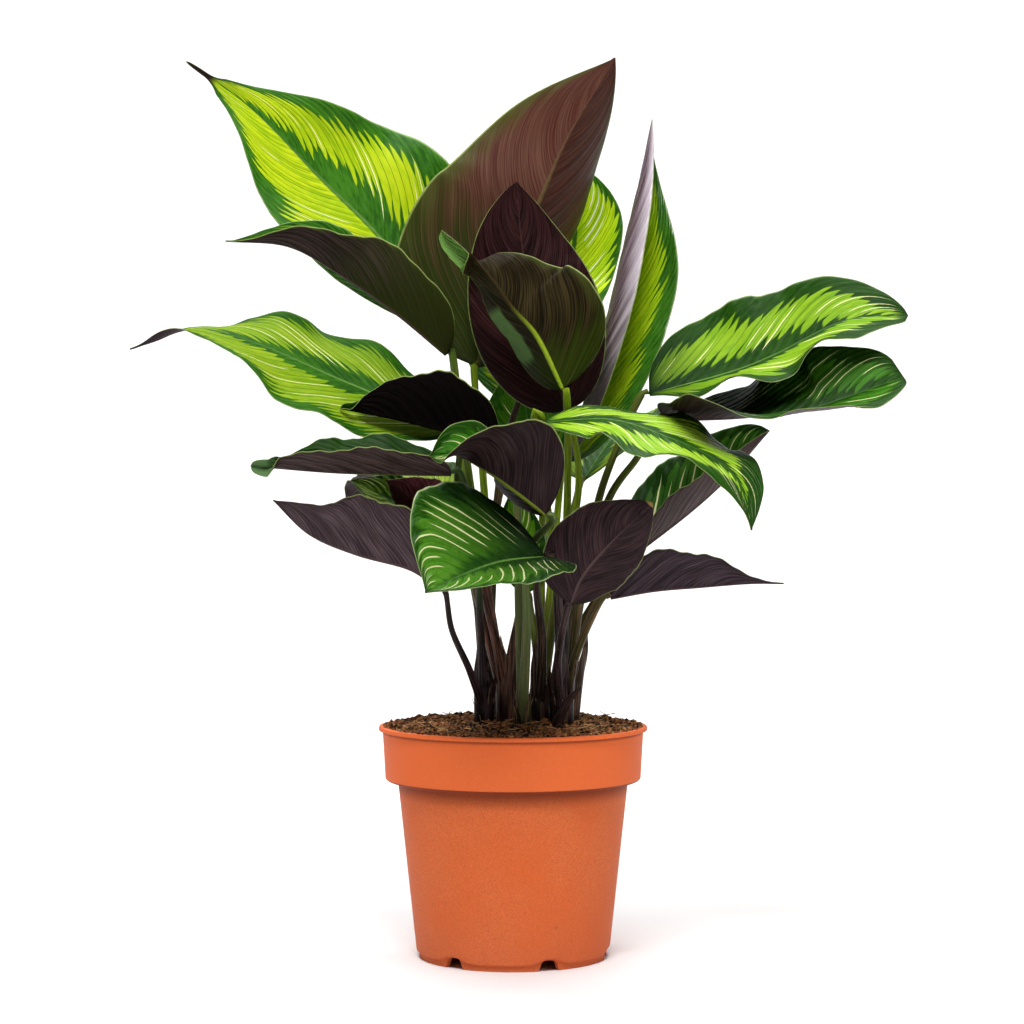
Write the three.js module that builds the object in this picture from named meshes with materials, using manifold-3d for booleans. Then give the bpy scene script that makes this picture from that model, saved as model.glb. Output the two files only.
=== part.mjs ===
// Potted calathea: broad striped leaves with plum undersides on slim stems, rooted in coir soil
// in a round plastic nursery pot. Millimetres, +Z up, -Y is the front; the origin is the middle
// of the pot's foot, on the surface it stands on.
import * as THREE from 'three';
import { mergeVertices } from 'three/addons/utils/BufferGeometryUtils.js';
import Module from 'manifold-3d';

const wasm = await Module();
wasm.setup();

// ---- driving dimensions ----
const GAP = 0.3; // left between pieces that touch
const CLEAR = 0.4; // hole in the soil round a shoot

const POT = {
  height: 120,
  lipRadius: 70,
  lipThick: 2,
  collarTop: 68,
  collarBottom: 66.6,
  collarHeight: 27,
  bodyTop: 60,
  bodyBottom: 50.4,
  footRadius: 48.8,
  footHeight: 3,
  wall: 1.6,
  floorLow: 5,
  floorHigh: 7,
  sides: 40,
  notches: 6,
  notchWidth: 9,
  notchHeight: 5.5,
  firstNotch: -128, // degrees from +X
  drainRadius: 5,
  drainRing: 30,
};

const SOIL = { edge: 118.5, crown: 121.5, bump: 0.9, rings: 9, sides: 30, holeFloor: 104 };

const BLADE = {
  rows: 10,
  strips: 6,
  thick: 0.8,
  keel: 0.7,
  stalkHalf: 1.6,
  tipHalf: 0.7,
  widest: 0.42,
  taper: 1.1,
};

const STALK = { sides: 6, steps: 9, rootRadius: 3.5, neckRadius: 1.8, knuckle: 5, foot: 4, straight: 6 };
const SHEATH = { sides: 10, tall: 8, cone: 6, top: 8, topShare: 0.6 };

// Each shoot: where it leaves the soil, and the radius of its sheath there.
const SHOOTS = {
  left: { at: [-15, -12], radius: 4.6, colour: 0x2a1a1c },
  middle: { at: [-3, -3], radius: 5, colour: 0x5a2a24 },
  front: { at: [5, -25], radius: 3.8, colour: 0x4f6a3c },
  inner: { at: [14, -9], radius: 4.4, colour: 0x3a2420 },
  right: { at: [25, -14], radius: 5.2, colour: 0x33203a },
  outer: { at: [29, 4], radius: 4.6, colour: 0x452a33 },
  back: { at: [-14, 17], radius: 5, colour: 0x33261f },
  rear: { at: [15, 19], radius: 5.4, colour: 0x3b3323 },
};

// The young rolled shoot.
const BUD = {
  at: [23, -31],
  radius: 2.6,
  tipRadius: 0.6,
  sides: 8,
  steps: 8,
  path: [[23, -31, 104.3], [23, -31, 114], [23, -31, 124], [28, -33, 135], [35, -34, 143]],
};

// Each leaf: the line of its midrib from stalk to tip, the way its upper side faces at even steps
// from stalk to tip, its half width, and for its left and right half (seen from above with the
// tip ahead) the rise at the midrib and the curl up to the edge, in degrees, at the stalk and at
// the tip. widest is where along it is widest, and a higher taper draws the tip out more. Half
// width, widest and taper are one number, or a pair for the left and the right half.
// wave is the height and number of the edge waves, and stem the shoot that the leaf grows from
// and the points that its stalk passes.
const LEAVES = {
  crest: {
    rib: [[-38, 42, 335], [-72, 44, 379], [-104, 42, 411], [-139, 36, 446], [-174, 26, 471]],
    face: [[0.2, -0.9, 0.3], [0.2, -0.9, 0.3]], half: [49, 57], widest: [0.4, 0.31], taper: [1.8, 2],
    left: [20, 10, 15, 10], right: [0, 15, -10, 10], wave: [1.6, 3],
    stem: ['back', [[-22, 30, 220]]],
  },
  fold: {
    rib: [[-35, 5, 314], [-62, -2, 336], [-89, -6, 354.5], [-116, -12, 369], [-148, -20, 371]],
    face: [[0, -0.1, 1], [0, -0.1, 1], [0, -0.7, 0.7]], half: 30, widest: 0.38, taper: 1.6,
    left: [55, 55, 20, 20], right: [50, 50, 10, 10], wave: [1.5, 3],
    stem: ['middle', [[-20, -1, 230]]],
  },
  spire: {
    rib: [[-19, 10, 308], [-4, 12, 360], [12, 14, 391], [29, 18, 430], [54, 20, 472]],
    face: [[0.1, 0.95, 0.1], [-0.2, 0.95, -0.1]], half: [56, 60], widest: [0.5, 0.29], taper: [0.85, 1.1],
    left: [48, 40, 50, 25], right: [5, 5, 15, 10], wave: [2, 3],
    stem: ['back', [[-14, 14, 220]]],
  },
  plume: {
    rib: [[28, -15, 284], [14, -14, 326], [5, -10, 368], [2, -6, 403]],
    face: [[0, 0.95, 0.1], [0, 0.95, -0.1]], half: 37,
    left: [10, 10, 20, 15], right: [10, 10, 25, 15], wave: [1.5, 3],
    stem: ['rear', [[34, -6, 243], [22, 10, 180]]],
  },
  hood: {
    rib: [[25, -46, 294], [12, -50, 320], [0, -52, 334], [-9, -53, 347], [-20, -52, 360], [-36, -46, 374]],
    face: [[-0.3, 0.8, -0.3], [-0.3, 0.9, -0.1], [-0.4, 0.9, -0.1], [-0.9, -0.3, -0.2]],
    half: 44, widest: 0.3, taper: 1.8,
    left: [0, 0, 10, 25], right: [70, 70, 30, 30], wave: [1.5, 3],
    stem: ['right', [[28, -25, 242]]],
  },
  pencil: {
    rib: [[14, 56, 320], [27, 66, 350], [34, 70, 382], [34, 70, 422]],
    face: [[0.1, -0.95, 0.2], [0.1, -0.95, 0.1]], half: [32, 26], widest: [0.42, 0.68], taper: [1.1, 0.8],
    left: [0, 0, 0, 0], right: [5, 5, 10, 10], wave: [1.5, 3],
    stem: ['back', [[-7, 30, 250]]],
  },
  scroll: {
    rib: [[27.5, 25, 258], [38.5, 27, 290], [50, 30, 332], [60, 33, 374], [68.5, 34, 410], [74.5, 32, 441]],
    face: [[0.1, -0.95, 0.2], [0.1, -0.95, 0.1]], half: [38, 42], widest: [0.5, 0.5], taper: [0.9, 1.9],
    left: [75, 75, 75, 65], right: [35, 35, 20, 20], wave: [1.2, 3],
    stem: ['rear', [[20, 24, 190]]],
  },
  banner: {
    rib: [[70, -25, 292], [111, -30, 303], [134, -34, 312], [168, -40, 328.5], [199.5, -45, 331]],
    face: [[-0.1, -0.7, 0.7], [-0.1, -0.7, 0.7]], half: [42, 48], widest: [0.34, 0.35], taper: [0.65, 0.35],
    left: [5, 5, 10, 10], right: [38, 30, 0, 0], wave: [2, 3],
    stem: ['outer', [[51, -16, 258], [43, -9, 232], [32, 0, 180]]],
  },
  pennant: {
    rib: [[79, -28, 279], [115, -59, 279.5], [146, -71, 283], [163, -71, 288], [194, -67, 299]],
    face: [[0, -0.72, 0.7], [0, -0.72, 0.7]], half: [35, 42], widest: [0.5, 0.55], taper: [0.35, 0.55],
    left: [-10, 15, 5, 10], right: [53, 30, 15, 0], wave: [1.8, 3],
    stem: ['outer', [[64, -27, 260], [48, -20, 235], [34, -6, 180]]],
  },
  tongue: {
    rib: [
      [16, -60, 277], [49, -65, 278], [76, -80, 269],
      [97, -95, 258.5], [109, -105, 246], [114, -115, 224],
    ],
    face: [[0, -0.37, 0.93], [0.3, -0.37, 0.8]], half: 32, taper: [1, 1.6],
    left: [-5, -5, 0, 5], right: [0, 0, 5, 5], wave: [1.8, 3],
    stem: ['right', [[22, -30, 200]]],
  },
  wing: {
    rib: [
      [-31, -25, 275], [-66, -30, 290], [-90, -32, 300],
      [-132, -38, 318], [-164, -40, 324.5], [-194.5, -38, 314.5],
    ],
    face: [[0.1, -0.7, 0.7], [0.1, -0.7, 0.7], [0.1, -0.6, 0.8], [0.1, 0.6, 0.8]],
    half: [36, 37], taper: [2, 2],
    left: [0, 0, 10, 10], right: [-4, -4, 0, 0], wave: [3, 3.5],
    stem: ['middle', [[-27, -15, 227]]],
  },
  shade: {
    rib: [[-8, -46, 266], [-35, -48, 273], [-60, -50, 279], [-87, -50, 284]],
    face: [[0, -0.1, 1], [0, -0.1, 1]], half: 30, taper: 1.3,
    left: [70, 70, 10, 10], right: [50, 50, 10, 10], wave: [1.2, 3],
    stem: ['front', [[2, -38, 235], [3, -31, 190]]],
  },
  trough: {
    rib: [[-31, -62, 251], [-45, -65, 251], [-78, -68, 251.5], [-98, -70, 252.5], [-130, -70, 255]],
    face: [[0, -0.1, 1], [0, -0.1, 1]], half: [23, 21], taper: [1, 1.3],
    left: [35, 35, 5, 5], right: [60, 60, 0, 0], wave: [1.4, 3],
    stem: ['left', [[-19, -44, 222], [-17, -24, 180]]],
  },
  shield: {
    rib: [[16, -78, 231], [0, -82, 243], [-11, -84, 251], [-27, -84, 260], [-41, -82, 260]],
    face: [[-0.2, 0.9, 0.3], [0, 0.9, 0.3], [0, 0.5, 0.8], [0, -0.8, 0.6]], half: 37,
    left: [0, 0, 15, 15], right: [60, 60, 20, 20], wave: [1.4, 3],
    stem: ['front', [[7.5, -55, 211], [7, -38, 173]]],
  },
  cradle: {
    rib: [[-38, -50, 194], [-52, -52, 203.5], [-79, -55, 211], [-102, -57, 221], [-120, -58, 238]],
    face: [[0, -0.1, 1], [0, -0.1, 1]], half: 34,
    left: [60, 60, 15, 15], right: [20, 20, 10, 10], wave: [1.4, 3],
    stem: ['left', [[-31, -40, 172], [-22, -26, 150]]],
  },
  prow: {
    rib: [[16, -66, 210], [-6, -92, 208], [-25, -115, 202], [-41, -138, 195]],
    face: [[0.35, -0.45, 0.82], [0.35, -0.45, 0.82]], half: [41, 50], widest: [0.42, 0.5],
    left: [25, 25, 5, 5], right: [15, 15, 10, 10], wave: [1.4, 3],
    stem: ['inner', [[12, -50, 198], [15, -26, 165]]],
  },
  paddle: {
    rib: [[29, -48, 186], [35, -54, 200], [48, -61, 216], [69, -70, 237]],
    face: [[0, 0.9, 0.4], [0, 0.9, 0.4]], half: [22, 26], taper: 0.9,
    left: [5, 5, 15, 15], right: [5, 5, 15, 15], wave: [1.2, 3],
    stem: ['right', [[23, -28, 155]]],
  },
  keel: {
    rib: [[50, -30, 188], [72, -36, 192], [94, -42, 194], [119, -48, 196], [136, -52, 196]],
    face: [[0, -0.1, 1], [0, -0.1, 1]], half: 23, taper: [2.5, 2.2],
    left: [30, 30, 10, 10], right: [60, 60, 10, 10], wave: [1.4, 3],
    stem: ['outer', [[32, -8, 155]]],
  },
  blade: {
    rib: [[66, 5, 211], [92, 3, 231], [112, 2, 249], [134, 0, 274]],
    face: [[-0.3, -0.6, 0.7], [-0.3, -0.6, 0.7]], half: [37, 31], widest: [0.3, 0.42], taper: [0.5, 1],
    left: [5, 5, 10, 10], right: [60, 60, 10, 10], wave: [1.4, 3],
    stem: ['outer', [[36, 5, 172]]],
  },
  sliver: {
    rib: [[-38, -10, 227], [-58, -10, 235], [-84, -10, 248]],
    face: [[0.1, -0.6, 0.8], [0.1, -0.6, 0.8]], half: [19, 19],
    left: [10, 10, 10, 10], right: [10, 10, 10, 10], wave: [1, 3],
    stem: ['middle', [[-12, -4, 175]]],
  },
  blush: {
    rib: [[-29, -36, 229], [-48, -40, 237], [-64, -42, 248]],
    face: [[0, 0.8, 0.5], [0, 0.8, 0.5]], half: 15,
    left: [10, 10, 10, 10], right: [10, 10, 10, 10], wave: [0.8, 3],
    stem: ['middle', [[-9, -12, 165]]],
  },
  veil: {
    rib: [[15, 62, 250], [8, 70, 280], [4, 74, 316]],
    face: [[0, -0.95, 0.2], [0, -0.95, 0.2]], half: 25,
    left: [5, 5, 10, 10], right: [5, 5, 10, 10], wave: [1, 3],
    stem: ['rear', [[15, 38, 190]]],
  },
  sprout: {
    rib: [[8, 36, 188], [4, 40, 215], [0, 42, 245]],
    face: [[0, -0.95, 0.2], [0, -0.95, 0.2]], half: 14,
    left: [10, 10, 10, 10], right: [10, 10, 10, 10], wave: [0.8, 3],
    stem: ['rear', [[12, 24, 160]]],
  },
  cloak: {
    rib: [[11, 86, 288], [7, 98, 320], [3, 114, 350], [0, 139, 374]],
    face: [[0, -0.8, 0.6], [0, -0.5, 0.85]], half: 36,
    left: [5, 10, 10, 10], right: [5, 10, 10, 10], wave: [1.8, 3],
    stem: ['back', [[-7, 82, 242], [-14, 38, 180]]],
  },
  train: {
    rib: [[14, 58, 208], [20, 84, 220], [24, 112, 218], [26, 140, 200]],
    face: [[0, -0.2, 1], [0, 0.4, 0.9]], half: 30,
    left: [15, 10, 10, 10], right: [15, 10, 10, 10], wave: [1.5, 3],
    stem: ['rear', [[14, 30, 165]]],
  },
  drape: {
    rib: [[-34, 48, 236], [-54, 72, 246], [-74, 96, 244], [-92, 118, 226]],
    face: [[0, -0.2, 1], [-0.3, 0.3, 0.9]], half: 28,
    left: [10, 10, 10, 10], right: [15, 10, 10, 10], wave: [1.5, 3],
    stem: ['back', [[-18, 26, 175]]],
  },
  sail: {
    rib: [[38, 54, 248], [54, 78, 270], [70, 102, 284], [86, 124, 282]],
    face: [[-0.3, -0.4, 0.9], [0, 0, 1]], half: 28,
    left: [10, 10, 10, 10], right: [15, 10, 10, 10], wave: [1.5, 3],
    stem: ['rear', [[22, 32, 185]]],
  },
};

// ---- helpers ----
const vec = (p) => new THREE.Vector3(p[0], p[1], p[2]);
const radians = THREE.MathUtils.degToRad;
const mix = THREE.MathUtils.lerp;

function solidOf(geometry) {
  const bare = geometry.clone();
  bare.deleteAttribute('normal');
  bare.deleteAttribute('uv');
  const merged = mergeVertices(bare, 1e-4);
  return new wasm.Manifold(new wasm.Mesh({
    numProp: 3,
    vertProperties: new Float32Array(merged.attributes.position.array),
    triVerts: new Uint32Array(merged.index.array),
  }));
}

function geometryOf(solid) {
  const mesh = solid.getMesh();
  return indexed(Array.from(mesh.vertProperties), Array.from(mesh.triVerts));
}

function indexed(positions, triangles) {
  const geometry = new THREE.BufferGeometry();
  geometry.setAttribute('position', new THREE.Float32BufferAttribute(positions, 3));
  geometry.setIndex(triangles);
  geometry.computeVertexNormals();
  return geometry;
}

function smoothLine(points) {
  return new THREE.CatmullRomCurve3(points.map(vec), false, 'catmullrom', 0.5);
}

function lathe(points, sides) {
  const geometry = new THREE.LatheGeometry(points.map(([r, z]) => new THREE.Vector2(r, z)), sides);
  geometry.rotateX(Math.PI / 2);
  return geometry;
}

// A closed round tube along a curve, its radius a function of the way along.
function tube(curve, radiusAt, sides, steps) {
  const frames = curve.computeFrenetFrames(steps, false);
  const positions = [];
  const triangles = [];
  for (let i = 0; i <= steps; i += 1) {
    const centre = curve.getPointAt(i / steps);
    const radius = radiusAt(i / steps);
    for (let j = 0; j < sides; j += 1) {
      const turn = (2 * Math.PI * j) / sides;
      const point = centre.clone();
      point.addScaledVector(frames.normals[i], radius * Math.cos(turn));
      point.addScaledVector(frames.binormals[i], radius * Math.sin(turn));
      positions.push(point.x, point.y, point.z);
    }
  }
  for (let i = 0; i < steps; i += 1) {
    for (let j = 0; j < sides; j += 1) {
      const a = i * sides + j;
      const b = i * sides + ((j + 1) % sides);
      triangles.push(a, b, a + sides, b, b + sides, a + sides);
    }
  }
  const last = steps * sides;
  for (let j = 1; j < sides - 1; j += 1) {
    triangles.push(0, j + 1, j);
    triangles.push(last, last + j, last + j + 1);
  }
  return indexed(positions, triangles);
}

// ---- blades ----

// Outline of a blade: round at the stalk, widest two fifths along, drawn out at the tip.
function outline(along, widest, taper) {
  if (along < widest) {
    const back = (widest - along) / widest;
    return Math.sqrt(Math.max(0, 1 - back * back));
  }
  const ahead = (along - widest) / (1 - widest);
  return (1 - ahead ** 1.9) ** taper;
}

// What a leaf gives for the half that a point is on: one number for both, or left and right.
function ofHalf(value, across) {
  return Array.isArray(value) ? value[across < 0 ? 0 : 1] : value;
}

// The point of a blade's middle surface at a share of the way along and across (-1 to 1).
function bladePoint(leaf, along, across) {
  const curve = leaf.curve;
  const tangent = curve.getTangentAt(along);
  const last = leaf.face.length - 1;
  const part = Math.min(Math.floor(along * last), last - 1);
  const up = vec(leaf.face[part]).lerp(vec(leaf.face[part + 1]), along * last - part);
  up.addScaledVector(tangent, -up.dot(tangent)).normalize();
  const side = tangent.clone().cross(up);
  const half = across < 0 ? leaf.left : leaf.right;
  const rise = radians(mix(half[0], half[1], along));
  const curl = radians(mix(half[2], half[3], along)) || 1e-4;
  const out = Math.abs(across);
  const least = mix(BLADE.stalkHalf, BLADE.tipHalf, along);
  const widest = ofHalf(leaf.widest ?? BLADE.widest, across);
  const shape = outline(along, widest, ofHalf(leaf.taper ?? BLADE.taper, across));
  const width = Math.max(ofHalf(leaf.half, across) * shape, least);
  const reach = (width / curl) * (Math.sin(rise + curl * out) - Math.sin(rise));
  const lift = (width / curl) * (Math.cos(rise) - Math.cos(rise + curl * out));
  const [height, count] = leaf.wave;
  const phase = across < 0 ? 0 : 1.7;
  const wave = height * out * out * Math.sin(2 * Math.PI * count * along + phase);
  const point = curve.getPointAt(along);
  point.addScaledVector(side, Math.sign(across) * reach);
  point.addScaledVector(up, lift + wave * Math.sin(Math.PI * along));
  return point;
}

// A closed blade: an upper and a lower skin with the same diagonals, joined round the edge.
function blade(leaf) {
  const { rows, strips } = BLADE;
  const middle = [];
  for (let i = 0; i <= rows; i += 1) {
    const along = i / rows;
    for (let j = 0; j <= strips; j += 1) {
      middle.push(bladePoint(leaf, along, (2 * j) / strips - 1));
    }
  }
  const at = (i, j) => middle[i * (strips + 1) + j];
  const upper = [];
  const lower = [];
  for (let i = 0; i <= rows; i += 1) {
    for (let j = 0; j <= strips; j += 1) {
      const ahead = at(Math.min(i + 1, rows), j).clone().sub(at(Math.max(i - 1, 0), j));
      const aside = at(i, Math.min(j + 1, strips)).clone().sub(at(i, Math.max(j - 1, 0)));
      const normal = aside.cross(ahead).normalize();
      const onRib = j === strips / 2 ? BLADE.keel * (1 - i / rows) : 0;
      upper.push(...at(i, j).clone().addScaledVector(normal, BLADE.thick / 2).toArray());
      lower.push(...at(i, j).clone().addScaledVector(normal, -BLADE.thick / 2 - onRib).toArray());
    }
  }
  const under = middle.length;
  const triangles = [];
  for (let i = 0; i < rows; i += 1) {
    for (let j = 0; j < strips; j += 1) {
      const a = i * (strips + 1) + j;
      const b = a + 1;
      const c = a + strips + 1;
      const d = c + 1;
      triangles.push(a, b, c, b, d, c);
    }
  }
  const skin = triangles.length;
  for (let k = 0; k < skin; k += 3) {
    triangles.push(under + triangles[k], under + triangles[k + 2], under + triangles[k + 1]);
  }
  const rim = [];
  for (let j = 0; j < strips; j += 1) rim.push(j);
  for (let i = 0; i < rows; i += 1) rim.push(i * (strips + 1) + strips);
  for (let j = strips; j > 0; j -= 1) rim.push(rows * (strips + 1) + j);
  for (let i = rows; i > 0; i -= 1) rim.push(i * (strips + 1));
  rim.forEach((a, k) => {
    const b = rim[(k + 1) % rim.length];
    triangles.push(a, under + a, b, b, under + a, under + b);
  });
  return indexed([...upper, ...lower], triangles);
}

// ---- shoots ----

// A stalk from its shoot's root to a blade, with a slightly thick knuckle below the blade.
function stalk(shoot, leaf) {
  const neck = leaf.curve.getPointAt(0);
  const heading = leaf.curve.getTangentAt(0);
  const end = neck.clone().addScaledVector(heading, -GAP - 0.05);
  const knuckle = neck.clone().addScaledVector(heading, -STALK.knuckle);
  const [x, y] = shoot.at;
  const start = [x, y, SOIL.crown - STALK.foot];
  const above = [x, y, SOIL.crown + STALK.straight];
  const path = [start, above, ...leaf.stem[1].slice().reverse(), knuckle.toArray(), end.toArray()];
  const radiusAt = (s) => mix(STALK.rootRadius, STALK.neckRadius, s);
  return tube(smoothLine(path), radiusAt, STALK.sides, STALK.steps);
}

function shootSolid(shoot, leaves) {
  const [x, y] = shoot.at;
  const low = SOIL.holeFloor + GAP;
  const shoulder = SOIL.crown + SHEATH.tall;
  const root = lathe([
    [0, low],
    [shoot.radius, low],
    [shoot.radius, shoulder],
    [shoot.radius * SHEATH.topShare, shoulder + SHEATH.cone],
    [0, shoulder + SHEATH.top],
  ], SHEATH.sides);
  root.translate(x, y, 0);
  let solid = solidOf(root);
  leaves.forEach((leaf) => {
    solid = solid.add(solidOf(stalk(shoot, leaf)));
  });
  return geometryOf(solid);
}

// ---- pot and soil ----

// Inner radius of the pot's wall at a height.
function innerRadius(z) {
  const step = POT.height - POT.collarHeight;
  if (z > step) {
    return mix(POT.collarBottom, POT.collarTop, (z - step) / POT.collarHeight) - POT.wall;
  }
  return mix(POT.bodyBottom, POT.bodyTop, (z - POT.footHeight) / (step - POT.footHeight)) - POT.wall;
}

function potSolid() {
  const step = POT.height - POT.collarHeight;
  const lipLow = POT.height - POT.lipThick;
  const profile = [
    [0, POT.floorLow],
    [POT.footRadius - 3, POT.floorLow],
    [POT.footRadius - 3, 0],
    [POT.footRadius, 0],
    [POT.footRadius, POT.footHeight],
    [POT.bodyBottom, POT.footHeight + 0.8],
    [POT.bodyTop, step - 2],
    [POT.collarBottom - 1, step - 1],
    [POT.collarBottom, step],
    [POT.collarTop, lipLow - 0.6],
    [POT.lipRadius, lipLow],
    [POT.lipRadius, POT.height - 0.5],
    [POT.lipRadius - 1, POT.height],
    [innerRadius(POT.height), POT.height],
    [innerRadius(step + 2), step + 2],
    [innerRadius(step - 0.5), step - 0.5],
    [innerRadius(POT.floorHigh), POT.floorHigh],
    [0, POT.floorHigh],
  ];
  let solid = solidOf(lathe(profile, POT.sides));
  for (let i = 0; i < POT.notches; i += 1) {
    const turn = radians(POT.firstNotch + (360 * i) / POT.notches);
    const wide = POT.notchWidth / 2;
    const shape = new THREE.Shape();
    shape.moveTo(-wide, -1);
    shape.lineTo(wide, -1);
    shape.lineTo(wide - 1.2, POT.notchHeight - 1.5);
    shape.lineTo(wide - 2.7, POT.notchHeight);
    shape.lineTo(2.7 - wide, POT.notchHeight);
    shape.lineTo(1.2 - wide, POT.notchHeight - 1.5);
    const notch = new THREE.ExtrudeGeometry(shape, { depth: 12, bevelEnabled: false });
    notch.rotateX(Math.PI / 2);
    notch.rotateZ(turn + Math.PI / 2);
    notch.translate(POT.footRadius * Math.cos(turn), POT.footRadius * Math.sin(turn), 0);
    const hole = new THREE.CylinderGeometry(POT.drainRadius, POT.drainRadius, 8, 10);
    hole.rotateX(Math.PI / 2);
    const between = turn + Math.PI / POT.notches;
    hole.translate(POT.drainRing * Math.cos(between), POT.drainRing * Math.sin(between), POT.floorLow);
    solid = solid.subtract(solidOf(notch)).subtract(solidOf(hole));
  }
  return geometryOf(solid);
}

// Height of the soil: a low mound with small humps.
function soilHeight(x, y) {
  const out = Math.hypot(x, y) / POT.collarTop;
  const humps = Math.sin(x * 0.21 + 1) * Math.cos(y * 0.17) + 0.6 * Math.sin(x * 0.09 - y * 0.31 + 2);
  return mix(SOIL.crown, SOIL.edge, out * out) + SOIL.bump * humps * (1 - out ** 4);
}

function soilSolid() {
  const step = POT.height - POT.collarHeight;
  const { rings, sides } = SOIL;
  const low = POT.floorHigh + GAP;
  const edge = innerRadius(SOIL.edge) - GAP - 0.2;
  const positions = [];
  const triangles = [];
  const heightAt = (radius, turn) => soilHeight(radius * Math.cos(turn), radius * Math.sin(turn));
  const ring = (radius, heightOf) => {
    for (let j = 0; j < sides; j += 1) {
      const turn = (2 * Math.PI * j) / sides;
      positions.push(radius * Math.cos(turn), radius * Math.sin(turn), heightOf(turn));
    }
  };
  positions.push(0, 0, soilHeight(0, 0));
  for (let i = 1; i <= rings; i += 1) {
    const radius = (edge * i) / rings;
    ring(radius, (turn) => heightAt(radius, turn));
  }
  ring(innerRadius(step + 2) - GAP - 0.2, () => step + 2.5);
  ring(innerRadius(step - 0.5) - GAP - 0.2, () => step - 0.5);
  ring(innerRadius(low) - GAP - 0.2, () => low);
  const ringsInAll = rings + 3;
  for (let j = 0; j < sides; j += 1) {
    const k = (j + 1) % sides;
    triangles.push(0, 1 + j, 1 + k);
    for (let i = 0; i < ringsInAll - 1; i += 1) {
      const a = 1 + i * sides + j;
      const b = 1 + i * sides + k;
      triangles.push(a, a + sides, b, b, a + sides, b + sides);
    }
  }
  const foot = 1 + (ringsInAll - 1) * sides;
  positions.push(0, 0, low);
  const centre = positions.length / 3 - 1;
  for (let j = 0; j < sides; j += 1) {
    triangles.push(centre, foot + ((j + 1) % sides), foot + j);
  }
  let solid = solidOf(indexed(positions, triangles));
  const holes = Object.values(SHOOTS).map(({ at, radius }) => [at, radius]);
  holes.push([BUD.at, BUD.radius]);
  holes.forEach(([[x, y], radius]) => {
    const hole = new THREE.CylinderGeometry(radius + CLEAR, radius + CLEAR, 40, 10);
    hole.rotateX(Math.PI / 2);
    hole.translate(x, y, SOIL.holeFloor + 20);
    solid = solid.subtract(solidOf(hole));
  });
  return geometryOf(solid);
}

// ---- assembly ----
const group = new THREE.Group();

function place(name, geometry, color, roughness) {
  const mesh = new THREE.Mesh(
    geometry,
    new THREE.MeshStandardMaterial({ color, roughness, metalness: 0 }),
  );
  mesh.name = name;
  group.add(mesh);
}

Object.values(LEAVES).forEach((leaf) => {
  leaf.curve = smoothLine(leaf.rib);
});

place('pot', potSolid(), 0xd9683c, 0.55);
place('soil', soilSolid(), 0x3d2a1e, 0.95);
Object.entries(SHOOTS).forEach(([name, shoot]) => {
  const leaves = Object.values(LEAVES).filter((leaf) => leaf.stem[0] === name);
  place(`shoot_${name}`, shootSolid(shoot, leaves), shoot.colour, 0.5);
});
const budRadius = (s) => mix(BUD.radius, BUD.tipRadius, s ** 3);
place('bud', tube(smoothLine(BUD.path), budRadius, BUD.sides, BUD.steps), 0x40282f, 0.5);
Object.entries(LEAVES).forEach(([name, leaf]) => {
  place(`leaf_${name}`, blade(leaf), 0x5c8f1e, 0.35);
});

export default group;
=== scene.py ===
import math

import bpy
import numpy as np
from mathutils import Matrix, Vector


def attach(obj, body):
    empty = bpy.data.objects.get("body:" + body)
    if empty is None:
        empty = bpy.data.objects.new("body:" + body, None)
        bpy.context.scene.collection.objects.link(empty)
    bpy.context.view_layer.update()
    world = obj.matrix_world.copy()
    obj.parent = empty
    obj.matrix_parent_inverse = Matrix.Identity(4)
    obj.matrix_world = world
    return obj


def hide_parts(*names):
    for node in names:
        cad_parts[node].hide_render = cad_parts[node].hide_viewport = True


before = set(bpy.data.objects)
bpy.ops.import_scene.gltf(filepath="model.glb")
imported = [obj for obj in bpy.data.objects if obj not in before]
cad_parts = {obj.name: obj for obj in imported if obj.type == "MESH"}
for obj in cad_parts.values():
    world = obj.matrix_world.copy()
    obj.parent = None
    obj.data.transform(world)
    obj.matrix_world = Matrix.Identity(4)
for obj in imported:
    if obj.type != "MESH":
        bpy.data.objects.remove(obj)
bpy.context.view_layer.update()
mm = 0.001
print("frame loaded:", len(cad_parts), "nodes")

# The camera stands level, a bit over a metre in front of the plant, as high as its middle leaves.
camera = {"away": 1.350, "height": 0.246, "lens": 90.84, "sensor": 36, "shift": (-0.001, -0.0273)}

# Soft boxes round the plant: place, aim, width and height in metres, then watts.
softBoxes = {
    "key": ((-0.12, -1.05, 1.70), (0, 0, 0.18), (0.85, 0.7), 38),
    "fill": ((1.25, -1.0, 0.6), (0, 0, 0.25), (0.6, 0.9), 3),
    "top": ((0.1, 0.1, 1.6), (0, 0, 0.3), (1.3, 1.0), 11),
    "rim": ((-0.9, 0.7, 1.3), (0, 0, 0.33), (0.8, 0.8), 2),
    "wall": ((0.0, 0.8, 2.0), (0, 1.7, 0.2), (2.4, 0.5), 38),
}
roomLight = 0.06  # faint even light from all round

# The sweep in metres: where its floor starts and where it bends up, the radius of the bend, its top
# and its half width.
sweepForm = {"front": -6.0, "bendAt": 0.5, "bend": 2.0, "top": 5.0, "half": 5.0}


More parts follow.
